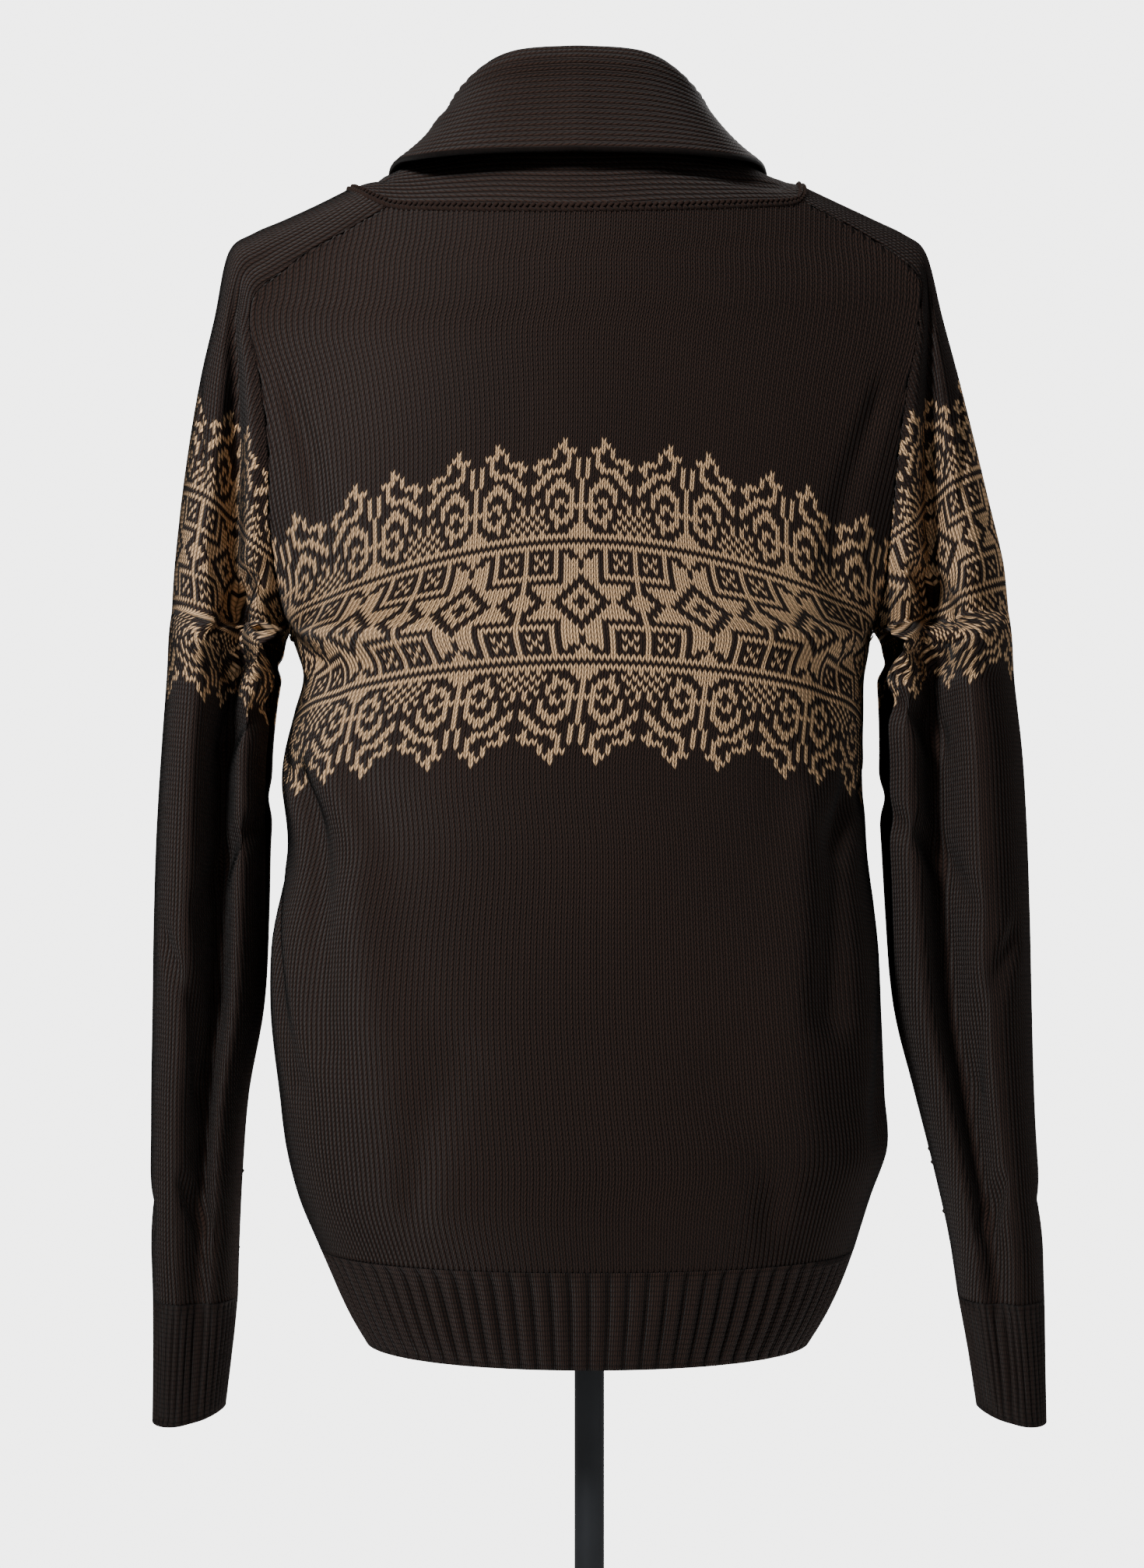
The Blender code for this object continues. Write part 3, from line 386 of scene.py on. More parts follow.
# The share of the width along each seam where a fold fades out.
PLAIN_EDGE = 0.03


def crease(grid, normals, folds, span):
    """Troughs and ridges worked into a grid.

    Each has its two ends as shares of the width and height, then its width, depth and bend.
    """
    rows, columns = grid.shape[:2]
    height = np.zeros((rows, columns))
    along, across = np.mgrid[0:rows, 0:columns].astype(float)
    along, across = along / (rows - 1) * span[0], across / (columns - 1) * span[1]
    for u1, v1, u2, v2, width, depth, bend in folds:
        start = np.array([u1 * span[1], v1 * span[0]])
        run = np.array([u2 * span[1], v2 * span[0]]) - start
        length = math.hypot(*run)
        direction = run / length
        du, dv = across - start[0], along - start[1]
        reach = du * direction[0] + dv * direction[1]
        t = np.clip(reach / length, 0.0, 1.0)
        side = dv * direction[0] - du * direction[1] - bend * np.sin(math.pi * t)
        beyond = np.maximum(0.0, np.maximum(-reach, reach - length))
        spread = width * (0.75 + 0.5 * t)
        fade_out = np.exp(-(beyond / width) ** 2)
        shape = fade_out * (np.exp(-(side / spread) ** 2) - 0.35 * np.exp(-(side / (2.1 * spread)) ** 2))
        height -= depth * shape * (0.8 + 0.2 * np.sin(5.0 * t + 3.0 * u1)) * 1.4
    edge = np.minimum(np.arange(columns), np.arange(columns)[::-1]) / (columns - 1)
    height *= np.clip(edge / PLAIN_EDGE, 0.0, 1.0)
    return grid + normals * height[..., None]


# Half a repeat of the star band, from the star's middle column to the column half way to the next
# star, and from the band's middle row upwards; it mirrors both ways. B is a beige stitch. Stars are
# STAR_REPEAT stitches apart. A piece without the band has its middle row at NO_BAND.
CHART = (
    "..BB..B..BBB",
    ".BB..BBB..BB",
    "BB..BBBBB..B",
    "B..BBBBBBB.B",
    "..BB.......B",
    ".BBB.BBBBBBB",
    "BBBB.B.....B",
    ".BBB.B.B.B.B",
    ".BBB.B..B..B",
    "B..B.B.B.B.B",
    "BB...B.....B",
    "BBBBBBBBBBBB",
    "............",
    "BBBBBBBBBBBB",
    "BBB.....B.B.",
    "BB...B.B.B.B",
    "B..BBB..B.B.",
    "B.BB.BB..B.B",
    "B.B...B.B.B.",
    "BBBB.B....B.",
    "B.B.BB.B.B..",
    "B.B....B....",
    "B.BB..BB..B.",
    "B..BBBB..BB.",
    "B...BB..BB..",
    ".B.....BB...",
    ".B..BBBB.B..",
    ".B.BB....BB.",
    ".B.B...BBB..",
    "...B..B.....",
    "..BBB.B.....",
    "....BB......",
    "....B.......",
)
STAR_REPEAT, NO_BAND = 22, 10000

# Rows are laid out beyond a piece's end, because they hang lower at its sides, and are cut off there.
# Faces smaller than SLIVER are left out.
ROWS_BEYOND, SLIVER = 26, 1.5e-7


def knit(name, grid, rows, wales, place, chart_row, material, relief=0.0012):
    """A sheet of jersey: two slanted faces a stitch, each in its yarn's colour.

    place gives, for a row and a distance in wales from the middle one, where on the grid that point
    lies: its row, which the piece's ends cut, and its share of the line, which its seams cut.
    """
    halves = np.arange(2 * wales + 1)
    levels = np.arange(-1, rows + ROWS_BEYOND + 1)
    row_at = levels[:, None] + np.where(halves % 2 == 0, LEG_SLANT, 0.0)[None, :]
    wale_at = np.broadcast_to(halves[None, :] / 2 - wales / 2, row_at.shape)
    v, f = place(row_at, wale_at)
    v, f = np.clip(v, 0.0, rows), np.clip(f, 0.0, 1.0)
    i = np.clip((v * 2).astype(int), 0, grid.shape[0] - 2)
    j = np.clip((f * (grid.shape[1] - 1)).astype(int), 0, grid.shape[1] - 2)
    a, b = (v * 2 - i)[..., None], (f * (grid.shape[1] - 1) - j)[..., None]
    points = ((1 - a) * (1 - b) * grid[i, j] + a * (1 - b) * grid[i + 1, j]
              + (1 - a) * b * grid[i, j + 1] + a * b * grid[i + 1, j + 1])
    count = len(halves)
    first = (np.arange(len(levels) - 1)[:, None] * count + np.arange(count - 1)[None, :]).ravel()
    quads = np.stack((first, first + 1, first + 1 + count, first + count), axis=1)
    flat = points.reshape(-1, 3)
    corners = flat[quads]
    areas = np.linalg.norm(np.cross(corners[:, 2] - corners[:, 0], corners[:, 3] - corners[:, 1]), axis=1)
    kept = areas > SLIVER
    quads = quads[kept]
    out = outward(points, points.mean(axis=(0, 1)))
    flat = flat - (out * (relief * (halves % 2 == 0))[None, :, None]).reshape(-1, 3)
    used, inverse = np.unique(quads, return_inverse=True)
    quads = inverse.reshape(quads.shape)
    mesh = bpy.data.meshes.new(name)
    mesh.from_pydata(flat[used].tolist(), [], quads.tolist())
    uv = np.stack((wale_at, np.broadcast_to(levels[:, None], row_at.shape)), axis=2).reshape(-1, 2)[used]
    layer = mesh.uv_layers.new(name="stitches")
    layer.data.foreach_set("uv", uv[quads.ravel()].astype(np.float32).ravel())
    row_number = np.repeat(levels[:-1], count - 1)[kept]
    wale_number = np.tile(np.arange(count - 1) // 2, len(levels) - 1)[kept] - (wales - 1) // 2
    column = np.abs((wale_number + STAR_REPEAT // 2) % STAR_REPEAT - STAR_REPEAT // 2)
    level = np.abs(row_number - chart_row)
    beige = np.zeros(len(quads), dtype=bool)
    for chart_level, line in enumerate(CHART):
        at = level == chart_level
        beige[at] = np.array([mark == "B" for mark in line])[column[at]]
    attribute = mesh.attributes.new("yarn", "FLOAT", "FACE")
    attribute.data.foreach_set("value", beige.astype(np.float32))
    mesh.materials.append(material)
    mesh.shade_smooth()
    return put(name, mesh)


def flat_cut(item, width, length):
    """The size a sheet was knitted to, with its area from its count of stitches, two faces each."""
    area = len(item.data.polygons) * STITCH * ROW / 2
    return {"flat": (float(width), float(length)), "area": min(area, float(width * length))}


def face_out(item, middle):
    """Turns a sheet's faces so that they look away from a point."""
    mesh = item.data
    centres = np.array([face.center for face in mesh.polygons])
    normals = np.array([face.normal for face in mesh.polygons])
    if np.sum(normals * (centres - middle)) < 0:
        mesh.flip_normals()


DARK_YARN, BEIGE_YARN = (0.0235, 0.0125, 0.0092, 1.0), (0.66, 0.42, 0.23, 1.0)


def wool(name, depth=0.0015, patterned=True, stitched=True, rib=0):
    """Soft wool yarn: each leg of a stitch is a rounded strand, flecked and a little fuzzy. Its colour is
    painted with shade in the gaps between strands and wales and at the ends of each stitch.

    rib is the count of stitches across one rib, where shade is painted into the grooves between ribs.
    """
    made = Material(name)
    fibre, drift, fleck = made.noise(1500.0, 3.0, 0.6), made.noise(14.0, 2.0), made.noise(420.0, 2.0, 0.7)
    wear = 0.34 * fibre + 0.36 * (fleck - 0.5) + 0.24 * (drift - 0.5)
    if stitched:
        uv = made.node("ShaderNodeUVMap", {"uv_map": "stitches"})["UV"]
        parts = made.node("ShaderNodeSeparateXYZ", None, [uv])
        strand = (parts["X"] * 2.0).maths("FRACT").humps(0.6)
        ends = parts["Y"].maths("FRACT").humps(0.7)
        made.bump(strand * (0.45 + 0.55 * ends) + fibre * 0.26, depth)
        # Painted shade: the colour darkens in the gaps between strands, between wales and at the ends of
        # each stitch, where shade falls in the knit; wear adds random tone.
        wale = (parts["X"] * math.pi).maths("COSINE").maths("ABSOLUTE") ** 0.6
        shade = 1.25 * strand * (0.30 + 0.70 * ends) * (0.30 + 0.90 * wale) + wear
        if rib:
            # Painted shade: the colour darkens into the grooves between the ribs.
            shade = shade * (0.25 + 0.95 * (parts["X"] * (1 / rib)).humps(0.8))
    else:
        made.bump(fibre + fleck, depth)
        shade = 0.70 + wear
    base = DARK_YARN[:3]
    if patterned:
        yarn = made.node("ShaderNodeAttribute", {"attribute_name": "yarn"})["Fac"]
        base = made.mix(yarn, DARK_YARN, BEIGE_YARN)
    shade_color = made.node("ShaderNodeCombineXYZ", None, [shade, shade, shade])["Vector"]
    shaded_yarn_colour = made.node("ShaderNodeVectorMath", {"operation": "MULTIPLY"}, [base, shade_color])["Vector"]
    made.set(Base_Color=shaded_yarn_colour, Roughness=0.9, Sheen_Weight=0.04, Sheen_Roughness=0.5,
             Specular_IOR_Level=0.12)
    return made.material


jersey = wool("dark_brown_jersey")
UPPER_ROWS = range(1, len(UPPER))
body_levels = [row[0] for row in BODY if row[0] >= HEM_TOP]


def body_lines(side):
    """The lines of the whole back or front, from the hem's top edge up to the neck."""
    return [low_line(level, side) for level in body_levels] + [high_line(row, side) for row in UPPER_ROWS]


# Shares of the back's height at which it is widest and the shoulders start. The wales are cast on
# over a little more than the widest row, because the seams cut the outer ones.
WIDEST_AT, SHOULDER_AT, CAST_ON = 0.30, 0.90, 1.10
back_grid, back_rows, _ = cloth_grid(body_lines("back"), BODY_COLUMNS)
back_length = line_lengths(back_grid)
SHOULDER_ROW = int(back_rows * SHOULDER_AT)
BACK_WALES = odd_count(back_length[int(back_rows * WIDEST_AT) * 2] * CAST_ON, STITCH)

# How far a row hangs lower at the sides than in the middle, and how far the wales draw in or fan out
# there, up the panel as shares of its height.
SAG_AT, SAG = (0.0, 0.30, 0.545, 0.70, 1.15), (0.0, 0.010, 0.029, 0.047, 0.050)
FAN_AT, FAN = (0.0, 0.30, 0.62, 0.90, 1.15), (0.0, 0.0, -0.09, 0.20, 0.30)


def body_place(lengths, rows):
    """Where a stitch of the back or fronts lies on its grid."""
    top = lengths[SHOULDER_ROW * 2]
    full = lengths[int(rows * WIDEST_AT) * 2]

    def place(row_at, wale_at):
        height = row_at / rows
        across = wale_at * STITCH * 2 / full
        sag = np.interp(height, SAG_AT, SAG) / ROW
        v = row_at - sag * np.abs(across) ** 1.8
        fan = np.interp(height, FAN_AT, FAN)
        length = at_row(v, lengths)
        width = np.where(v < SHOULDER_ROW, length, top)
        return v, 0.5 + across / 2 * (1 + fan * across**2) * width / length

    return place


BACK_FOLDS = (
    (0.02, 0.36, 0.13, 0.17, 0.010, 0.0045, 0.004), (0.05, 0.47, 0.20, 0.38, 0.012, 0.0030, 0.004),
    (0.98, 0.45, 0.85, 0.40, 0.012, 0.0035, -0.004), (0.97, 0.30, 0.90, 0.12, 0.012, 0.0030, 0.003),
    (0.03, 0.60, 0.16, 0.545, 0.011, 0.0035, 0.003), (0.97, 0.60, 0.84, 0.55, 0.011, 0.0035, -0.003),
    (0.05, 0.80, 0.12, 0.62, 0.013, 0.0030, 0.006), (0.95, 0.80, 0.88, 0.62, 0.013, 0.0030, -0.006),
    (0.30, 0.06, 0.36, 0.20, 0.016, 0.0030, 0.004), (0.72, 0.05, 0.66, 0.18, 0.016, 0.0030, -0.004),
    (0.11, 0.45, 0.19, 0.21, 0.015, 0.0060, 0.006), (0.18, 0.46, 0.27, 0.16, 0.020, -0.0040, 0.006),
    (0.89, 0.44, 0.82, 0.24, 0.015, 0.0045, -0.005), (0.80, 0.42, 0.75, 0.14, 0.020, -0.0030, -0.006),
)
back_grid = crease(back_grid, outward(back_grid, BODY_MIDDLE), BACK_FOLDS,
                   (back_rows * ROW, float(back_length.max())))
BAND_AT = 0.617
BACK_CHART_ROW = int(round(back_rows * BAND_AT))
back = knit("back_knit", back_grid, back_rows, BACK_WALES,
            body_place(back_length, back_rows), BACK_CHART_ROW, jersey)
face_out(back, BODY_MIDDLE)
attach(back, "root")
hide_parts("back")
flat_cut(back, back_length.max(), back_rows * ROW)


# Fronts. Two jersey panels like the back, cut away along the neck, each knitted with half of the
# same band. Their front edges are covered by the bands.
LEFT_EDGE_X, RIGHT_EDGE_X = -0.0170, 0.0185
FRONT_SHARE = 0.52
front_grid, front_rows, front_run = cloth_grid(body_lines("front"), BODY_COLUMNS)
front_length = line_lengths(front_grid)
FRONT_FOLDS = (
    (0.03, 0.45, 0.18, 0.25, 0.012, 0.0045, 0.004), (0.97, 0.45, 0.83, 0.27, 0.012, 0.0045, -0.004),
    (0.04, 0.62, 0.17, 0.55, 0.011, 0.0035, 0.003), (0.96, 0.62, 0.84, 0.55, 0.011, 0.0035, -0.003),
    (0.06, 0.82, 0.13, 0.64, 0.013, 0.0030, 0.006), (0.94, 0.82, 0.87, 0.64, 0.013, 0.0030, -0.006),
    (0.30, 0.05, 0.34, 0.20, 0.016, 0.0022, 0.004), (0.70, 0.05, 0.67, 0.22, 0.016, 0.0022, -0.004),
)
front_grid = crease(front_grid, outward(front_grid, BODY_MIDDLE), FRONT_FOLDS,
                    (front_rows * ROW, float(front_length.max())))
neck_cut = [0.0] * len(body_levels) + [UPPER[row][5] for row in UPPER_ROWS]
opening = through(np.linspace(0.0, front_run[-1], len(front_grid)), front_run, neck_cut)
front_cut = {}
for hand, edge_x, nearer in (("left", np.minimum(LEFT_EDGE_X, MIDDLE_X - opening), np.minimum),
                             ("right", np.maximum(RIGHT_EDGE_X, MIDDLE_X + opening), np.maximum)):
    front_cut[hand] = np.array([np.interp(x, line[:, 0], np.linspace(0, 1, len(line)))
                                for x, line in zip(edge_x, front_grid)])

    def front_place(row_at, wale_at, cut=front_cut[hand], nearer=nearer):
        v, f = body_place(front_length, front_rows)(row_at, wale_at)
        return v, nearer(f, at_row(v, cut))

    front = knit("front_" + hand + "_knit", front_grid, front_rows, BACK_WALES, front_place,
                 BACK_CHART_ROW, jersey)
    face_out(front, BODY_MIDDLE)
    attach(front, "root")
    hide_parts("front_" + hand)
    flat_cut(front, front_length.max() * FRONT_SHARE, front_rows * ROW)


# Sleeves. Jersey tubes seamed along the inner side, each narrowing to the cuff and running on over
# the shoulder to the neck as a saddle. They hang empty, so the cloth falls in along the back.
# z, left in, left out, right in, right out, half depth, middle y
SLEEVE = (
    (0.5900, -0.2125, -0.2550, 0.2265, 0.2670, 0.038, 0.024),
    (0.6260, -0.2085, -0.2545, 0.2215, 0.2662, 0.039, 0.023),
    (0.6620, -0.2052, -0.2545, 0.2155, 0.2655, 0.041, 0.022),
    (0.6950, -0.2042, -0.2548, 0.2105, 0.2638, 0.046, 0.021),
    (0.7350, -0.2022, -0.2550, 0.2015, 0.2612, 0.051, 0.019),
    (0.7800, -0.1985, -0.2547, 0.1900, 0.2588, 0.056, 0.017),
    (0.8300, -0.1895, -0.2537, 0.1772, 0.2572, 0.060, 0.015),
    (0.8850, -0.1860, -0.2525, 0.1702, 0.2556, 0.064, 0.012),
    (0.9350, -0.1845, -0.2505, 0.1660, 0.2535, 0.066, 0.009),
    (0.9800, -0.1830, -0.2475, 0.1645, 0.2505, 0.068, 0.007),
    (1.0180, -0.1785, -0.2445, 0.1640, 0.2460, 0.069, 0.005),
)
TROUGH_AT = (0.590, 0.662, 0.735, 0.830, 0.950, 1.058, 1.126, 1.198, 1.255, 1.300)
TROUGH = (0.003, 0.010, 0.024, 0.036, 0.044, 0.044, 0.035, 0.013, 0.002, 0.0)
TROUGH_MIDDLE, TROUGH_WIDTH, TROUGH_START = 0.40, 0.13, 0.15
CUFF_BOTTOM, CUFF_TOP = 0.590, 0.662
UNDERARM_HALF_DEPTH = 0.070
SLEEVE_COLUMNS = 241


def trough(height, angle, start):
    """How far the cloth falls in at the sleeve's back."""
    share = (np.sin(angle) - math.sin(start)) / (1 - math.sin(start))
    depth = through(height, TROUGH_AT, TROUGH) * np.clip(share / TROUGH_START, 0.0, 1.0)
    return depth * np.exp(-(((share - TROUGH_MIDDLE) / TROUGH_WIDTH) ** 2))


def sleeve_ring(hand, level):
    """A closed section below the underarm, from the inner side round the back."""
    row = through(level, [line[0] for line in SLEEVE], SLEEVE)[0]
    inner, outer = (row[1], row[2]) if hand == "left" else (row[3], row[4])
    angle = np.linspace(0.0, 2 * math.pi, SLEEVE_COLUMNS) - math.pi / 2
    across = (inner + outer) / 2 + (outer - inner) / 2 * np.sin(angle)
    back_in = np.where(np.cos(angle) > 0, trough(level, angle, -math.pi / 2), 0.0)
    return np.column_stack((across, row[6] - row[5] * np.cos(angle) + back_in,
                            np.full(SLEEVE_COLUMNS, level)))


def sleeve_arch(hand, row):
    """A section over the shoulder, from the back's seam over the top to the front's seam."""
    values = SHOULDER[hand][row]
    crest, ends = values[:2], [values[2:5], values[5:8]]
    start = math.radians(values[8])
    angles = np.linspace(start, math.pi / 2, SLEEVE_COLUMNS // 2 + 1)
    middle_y = (ends[0][1] + ends[1][1]) / 2
    half_depth = UNDERARM_HALF_DEPTH if row == 0 else (ends[1][1] - ends[0][1]) / 2 / math.cos(start)
    halves = []
    for end, sign in zip(ends, (-1, 1)):
        inward = (1 - np.sin(angles))[:, None] * (crest - end[[0, 2]]) / (1 - math.sin(start))
        depth = sign * half_depth * np.cos(angles)
        halves.append(np.column_stack((crest[0] - inward[:, 0], middle_y + depth, crest[1] - inward[:, 1])))
    halves[0][:, 1] += trough(halves[0][:, 2], angles, start)
    return np.vstack((halves[0], halves[1][-2::-1]))


SLEEVE_SAG_AT = (0.0, 0.40, 0.51, 0.63, 0.75, 0.88, 1.1)
SLEEVE_SAG = (0.0, 0.010, 0.016, 0.030, 0.043, 0.036, 0.0)
SLEEVE_WALES, SLEEVE_BAND_AT, SLEEVE_BAND_LIFT = 97, 0.60, {"left": 8, "right": 10}
SLEEVE_FOLDS = (
    (0.06, 0.62, 0.30, 0.575, 0.010, 0.0055, 0.004), (0.04, 0.56, 0.27, 0.535, 0.009, 0.0050, -0.003),
    (0.05, 0.50, 0.24, 0.465, 0.010, 0.0040, 0.004), (0.10, 0.40, 0.32, 0.33, 0.012, 0.0030, 0.005),
    (0.94, 0.62, 0.72, 0.58, 0.010, 0.0050, -0.004), (0.95, 0.55, 0.76, 0.52, 0.010, 0.0045, 0.003),
    (0.92, 0.42, 0.70, 0.36, 0.012, 0.0035, -0.004), (0.38, 0.74, 0.30, 0.62, 0.012, 0.0030, 0.004),
    (0.40, 0.30, 0.26, 0.18, 0.012, 0.0030, -0.005), (0.62, 0.30, 0.72, 0.20, 0.012, 0.0030, 0.004),
    (0.60, 0.12, 0.44, 0.07, 0.010, 0.0030, 0.003), (0.30, 0.10, 0.16, 0.06, 0.010, 0.0030, 0.003),
)
sleeve_grids = {}
for hand in ("left", "right"):
    sleeve_lines = [sleeve_ring(hand, line[0]) for line in SLEEVE if line[0] >= CUFF_TOP]
    sleeve_lines += [sleeve_arch(hand, row) for row in range(len(UPPER))]
    sleeve_grid, sleeve_rows, _ = cloth_grid(sleeve_lines, SLEEVE_COLUMNS)
    sleeve_length = line_lengths(sleeve_grid)
    sleeve_middle = sleeve_grid.mean(axis=(0, 1))
    sleeve_grid = crease(sleeve_grid, outward(sleeve_grid, sleeve_middle), SLEEVE_FOLDS,
                         (sleeve_rows * ROW, float(sleeve_length.max())))
    sleeve_grids[hand] = sleeve_grid

    def sleeve_place(row_at, wale_at, lengths=sleeve_length, rows=sleeve_rows):
        height = row_at / rows
        across = wale_at / (SLEEVE_WALES / 2)
        sag = np.interp(height, SLEEVE_SAG_AT, SLEEVE_SAG) / ROW
        v = row_at - sag * np.abs(across) ** 1.6
        return v, 0.5 + wale_at * STITCH / at_row(v, lengths)

    chart_row = int(round(sleeve_rows * SLEEVE_BAND_AT)) + SLEEVE_BAND_LIFT[hand]
    sleeve = knit("sleeve_" + hand + "_knit", sleeve_grid, sleeve_rows, SLEEVE_WALES, sleeve_place,
                  chart_row, jersey)
    face_out(sleeve, sleeve_middle)
    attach(sleeve, "root")
    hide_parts("sleeve_" + hand)
    flat_cut(sleeve, sleeve_length.max(), sleeve_rows * ROW)


# Hem. Two-by-two rib in the dark yarn, knitted from the bottom up on finer needles, which draws the
# body in. The three pieces meet at the side seams and end under the bands.
RIB_STITCHES, RIB_STEPS, RIB_ROWS, RIB_LINES = 4, 8, 13, 5
rib_wool = wool("dark_brown_rib_knit", patterned=False, rib=RIB_STITCHES)
HEM_RIB_PITCH, HEM_RISE, HEM_WALL = 0.0103, 0.0036, 0.0046


def made_from(shape, name, *materials, sharp=None):
    """The smooth object of a finished bmesh, its faces looking out, with edges over an angle sharp."""
    bmesh.ops.recalc_face_normals(shape, faces=shape.faces)
    mesh = bpy.data.meshes.new(name)
    shape.to_mesh(mesh)
    shape.free()
    mesh.shade_smooth()
    if sharp:
        mesh.set_sharp_from_angle(angle=math.radians(sharp))
    for material in materials:
        mesh.materials.append(material)
    return put(name, mesh)


def ribbed_sheet(name, lines, height, pitch, rise, wall):
    """A closed ribbed wall between a raised outer face and a plain inner one, and its length."""
    length = (run_along(lines[0])[-1] + run_along(lines[-1])[-1]) / 2
    columns = int(round(length / pitch)) * RIB_STEPS + 1
    rows = RIB_ROWS
    control = np.array([evenly(line, columns) for line in lines])
    grid = through(np.linspace(0, 1, rows), np.linspace(0, 1, len(lines)), control)
    closed = np.linalg.norm(grid[0, 0] - grid[0, -1]) < 1e-4
    across = np.gradient(grid, axis=1)
    if closed:
        across[:, [0, -1]] = ((grid[:, 1] - grid[:, -2]) / 2)[:, None]
    normals = unit(np.cross(across, np.gradient(grid, axis=0)) * (1.0, 1.0, 0.0))
    centre = grid.mean(axis=(0, 1)) if closed else BODY_MIDDLE
    normals *= np.sign(np.sum(normals * (grid - centre)))
    wave = np.abs(np.sin(math.pi * np.arange(columns) / RIB_STEPS)) ** 0.7
    curl = np.sin(np.linspace(0, math.pi, rows)) ** 0.35
    layers = (grid + normals * (rise * (wave[None, :, None] - 1.0) * curl[:, None, None]),
              grid - normals * wall)
    shape = bmesh.new()
    uv = shape.loops.layers.uv.new("stitches")
    outer, inner = [[[shape.verts.new(point) for point in line] for line in layer] for layer in layers]
    stitches, courses = RIB_STITCHES / RIB_STEPS, height / (rows - 1) / ROW

    def face(corners, places):
        for loop, place in zip(shape.faces.new(corners).loops, places):
            loop[uv].uv = place

    for row in range(rows - 1):
        for at in range(columns - 1):
            ring = [(row, at), (row, at + 1), (row + 1, at + 1), (row + 1, at)]
            places = [(c * stitches, r * courses) for r, c in ring]
            face([outer[r][c] for r, c in ring], places)
            face([inner[r][c] for r, c in ring[::-1]], places[::-1])
    for at in range(columns - 1):
        for row, order in ((0, 1), (rows - 1, -1)):
            corners = [outer[row][at], inner[row][at], inner[row][at + 1], outer[row][at + 1]]
            face(corners[::order], [(at * stitches, 0.3)] * 4)
    for row in range(0 if closed else rows - 1):
        for at in (0, columns - 1):
            corners = [outer[row][at], outer[row + 1][at], inner[row + 1][at], inner[row][at]]
            face(corners, [(0.0, row * courses)] * 4)
    bmesh.ops.remove_doubles(shape, verts=shape.verts, dist=1e-6)
    item = made_from(shape, name, rib_wool)
    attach(item, "root")
    return item, length


def stretch_of(line, start_x, end_x):
    """The part of a line between two values of x, or between its own ends."""
    start_x, end_x = max(start_x, line[0, 0] + 1e-7), min(end_x, line[-1, 0] - 1e-7)
    inside = line[(line[:, 0] > start_x) & (line[:, 0] < end_x)]
    return np.vstack((spot(start_x, line[:, 0], line), inside, spot(end_x, line[:, 0], line)))


HEM_CUTS = {"hem_back": ("back", -1.0, 1.0), "hem_front_left": ("front", -1.0, LEFT_EDGE_X),
            "hem_front_right": ("front", RIGHT_EDGE_X, 1.0)}
for node, (side, start_x, end_x) in HEM_CUTS.items():
    hem_lines = [stretch_of(low_line(level, side), start_x, end_x)
                 for level in np.linspace(HEM_BOTTOM, HEM_TOP, RIB_LINES)]
    hem, hem_length = ribbed_sheet(node + "_rib", hem_lines, HEM_TOP - HEM_BOTTOM, HEM_RIB_PITCH, HEM_RISE,
                                   HEM_WALL)
    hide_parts(node)


# Cuffs. Narrow rib in the dark yarn, a closed ring at each wrist, knitted on from the sleeve. Its
# lower edge hangs a little higher on the inner side.
CUFF_RIB_PITCH, CUFF_RISE, CUFF_WALL, CUFF_SLANT = 0.0050, 0.0020, 0.0032, 0.008
for hand in ("left", "right"):
    cuff_lines = [sleeve_ring(hand, level) for level in np.linspace(CUFF_BOTTOM, CUFF_TOP, RIB_LINES)]
    for line, rise in zip(cuff_lines, np.linspace(CUFF_SLANT, 0.0, RIB_LINES)):
        inner = (line[:, 0] - line[:, 0].min()) / np.ptp(line[:, 0])
        line[:, 2] += rise * (inner if hand == "left" else 1 - inner) ** 2
    cuff, cuff_length = ribbed_sheet("cuff_" + hand + "_rib", cuff_lines, CUFF_TOP - CUFF_BOTTOM,
                                     CUFF_RIB_PITCH, CUFF_RISE, CUFF_WALL)
    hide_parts("cuff_" + hand)
    "sleeve_" + hand


# Collar. One long strip of rib knitted sideways, so its wales run along it. It is linked to the
# neck edge with a raised chain, stands, folds over and falls, and narrows into both front bands.
COLLAR_WALE, COLLAR_CLOTH, LAID_GAP = 0.0036, 0.0030, 0.0004
COLLAR_ROLL, ROLL_REACH, FALL_SAG = 0.0042, 1.6, 0.4
COLLAR_STATIONS, COLLAR_COLUMNS, SECTION_POINTS = 161, 121, 200
COLLAR_END_Z, NECK_POINT_Z, EDGE_STEP = 1.081, 1.100, 6
# The root lies a little under the body's sheet, and by a whole thickness of cloth near both ends.
ROOT_SINK, SINK_FROM, SINK_OVER = 0.0012, 0.420, 0.045
# along, fold x, y, z, edge x, y, z, sag
COLLAR = (
    (0.000, 0.0000, -0.0620, 1.3735, 0.0000, -0.0930, 1.3120, 0.003),
    (0.060, 0.0340, -0.0545, 1.3725, 0.0550, -0.0835, 1.3120, 0.005),
    (0.115, 0.0530, -0.0330, 1.3650, 0.0890, -0.0605, 1.3125, 0.006),
    (0.165, 0.0625, 0.0010, 1.3535, 0.1050, -0.0180, 1.3150, 0.007),
    (0.220, 0.0620, 0.0380, 1.3270, 0.1130, 0.0420, 1.3050, 0.007),
    (0.275, 0.0540, 0.0790, 1.2800, 0.1200, 0.0860, 1.2570, 0.002),
    (0.330, 0.0400, 0.1010, 1.2320, 0.1040, 0.0980, 1.2150, 0.001),
    (0.382, 0.0240, 0.1160, 1.1850, 0.0680, 0.1200, 1.1760, 0.000),
)
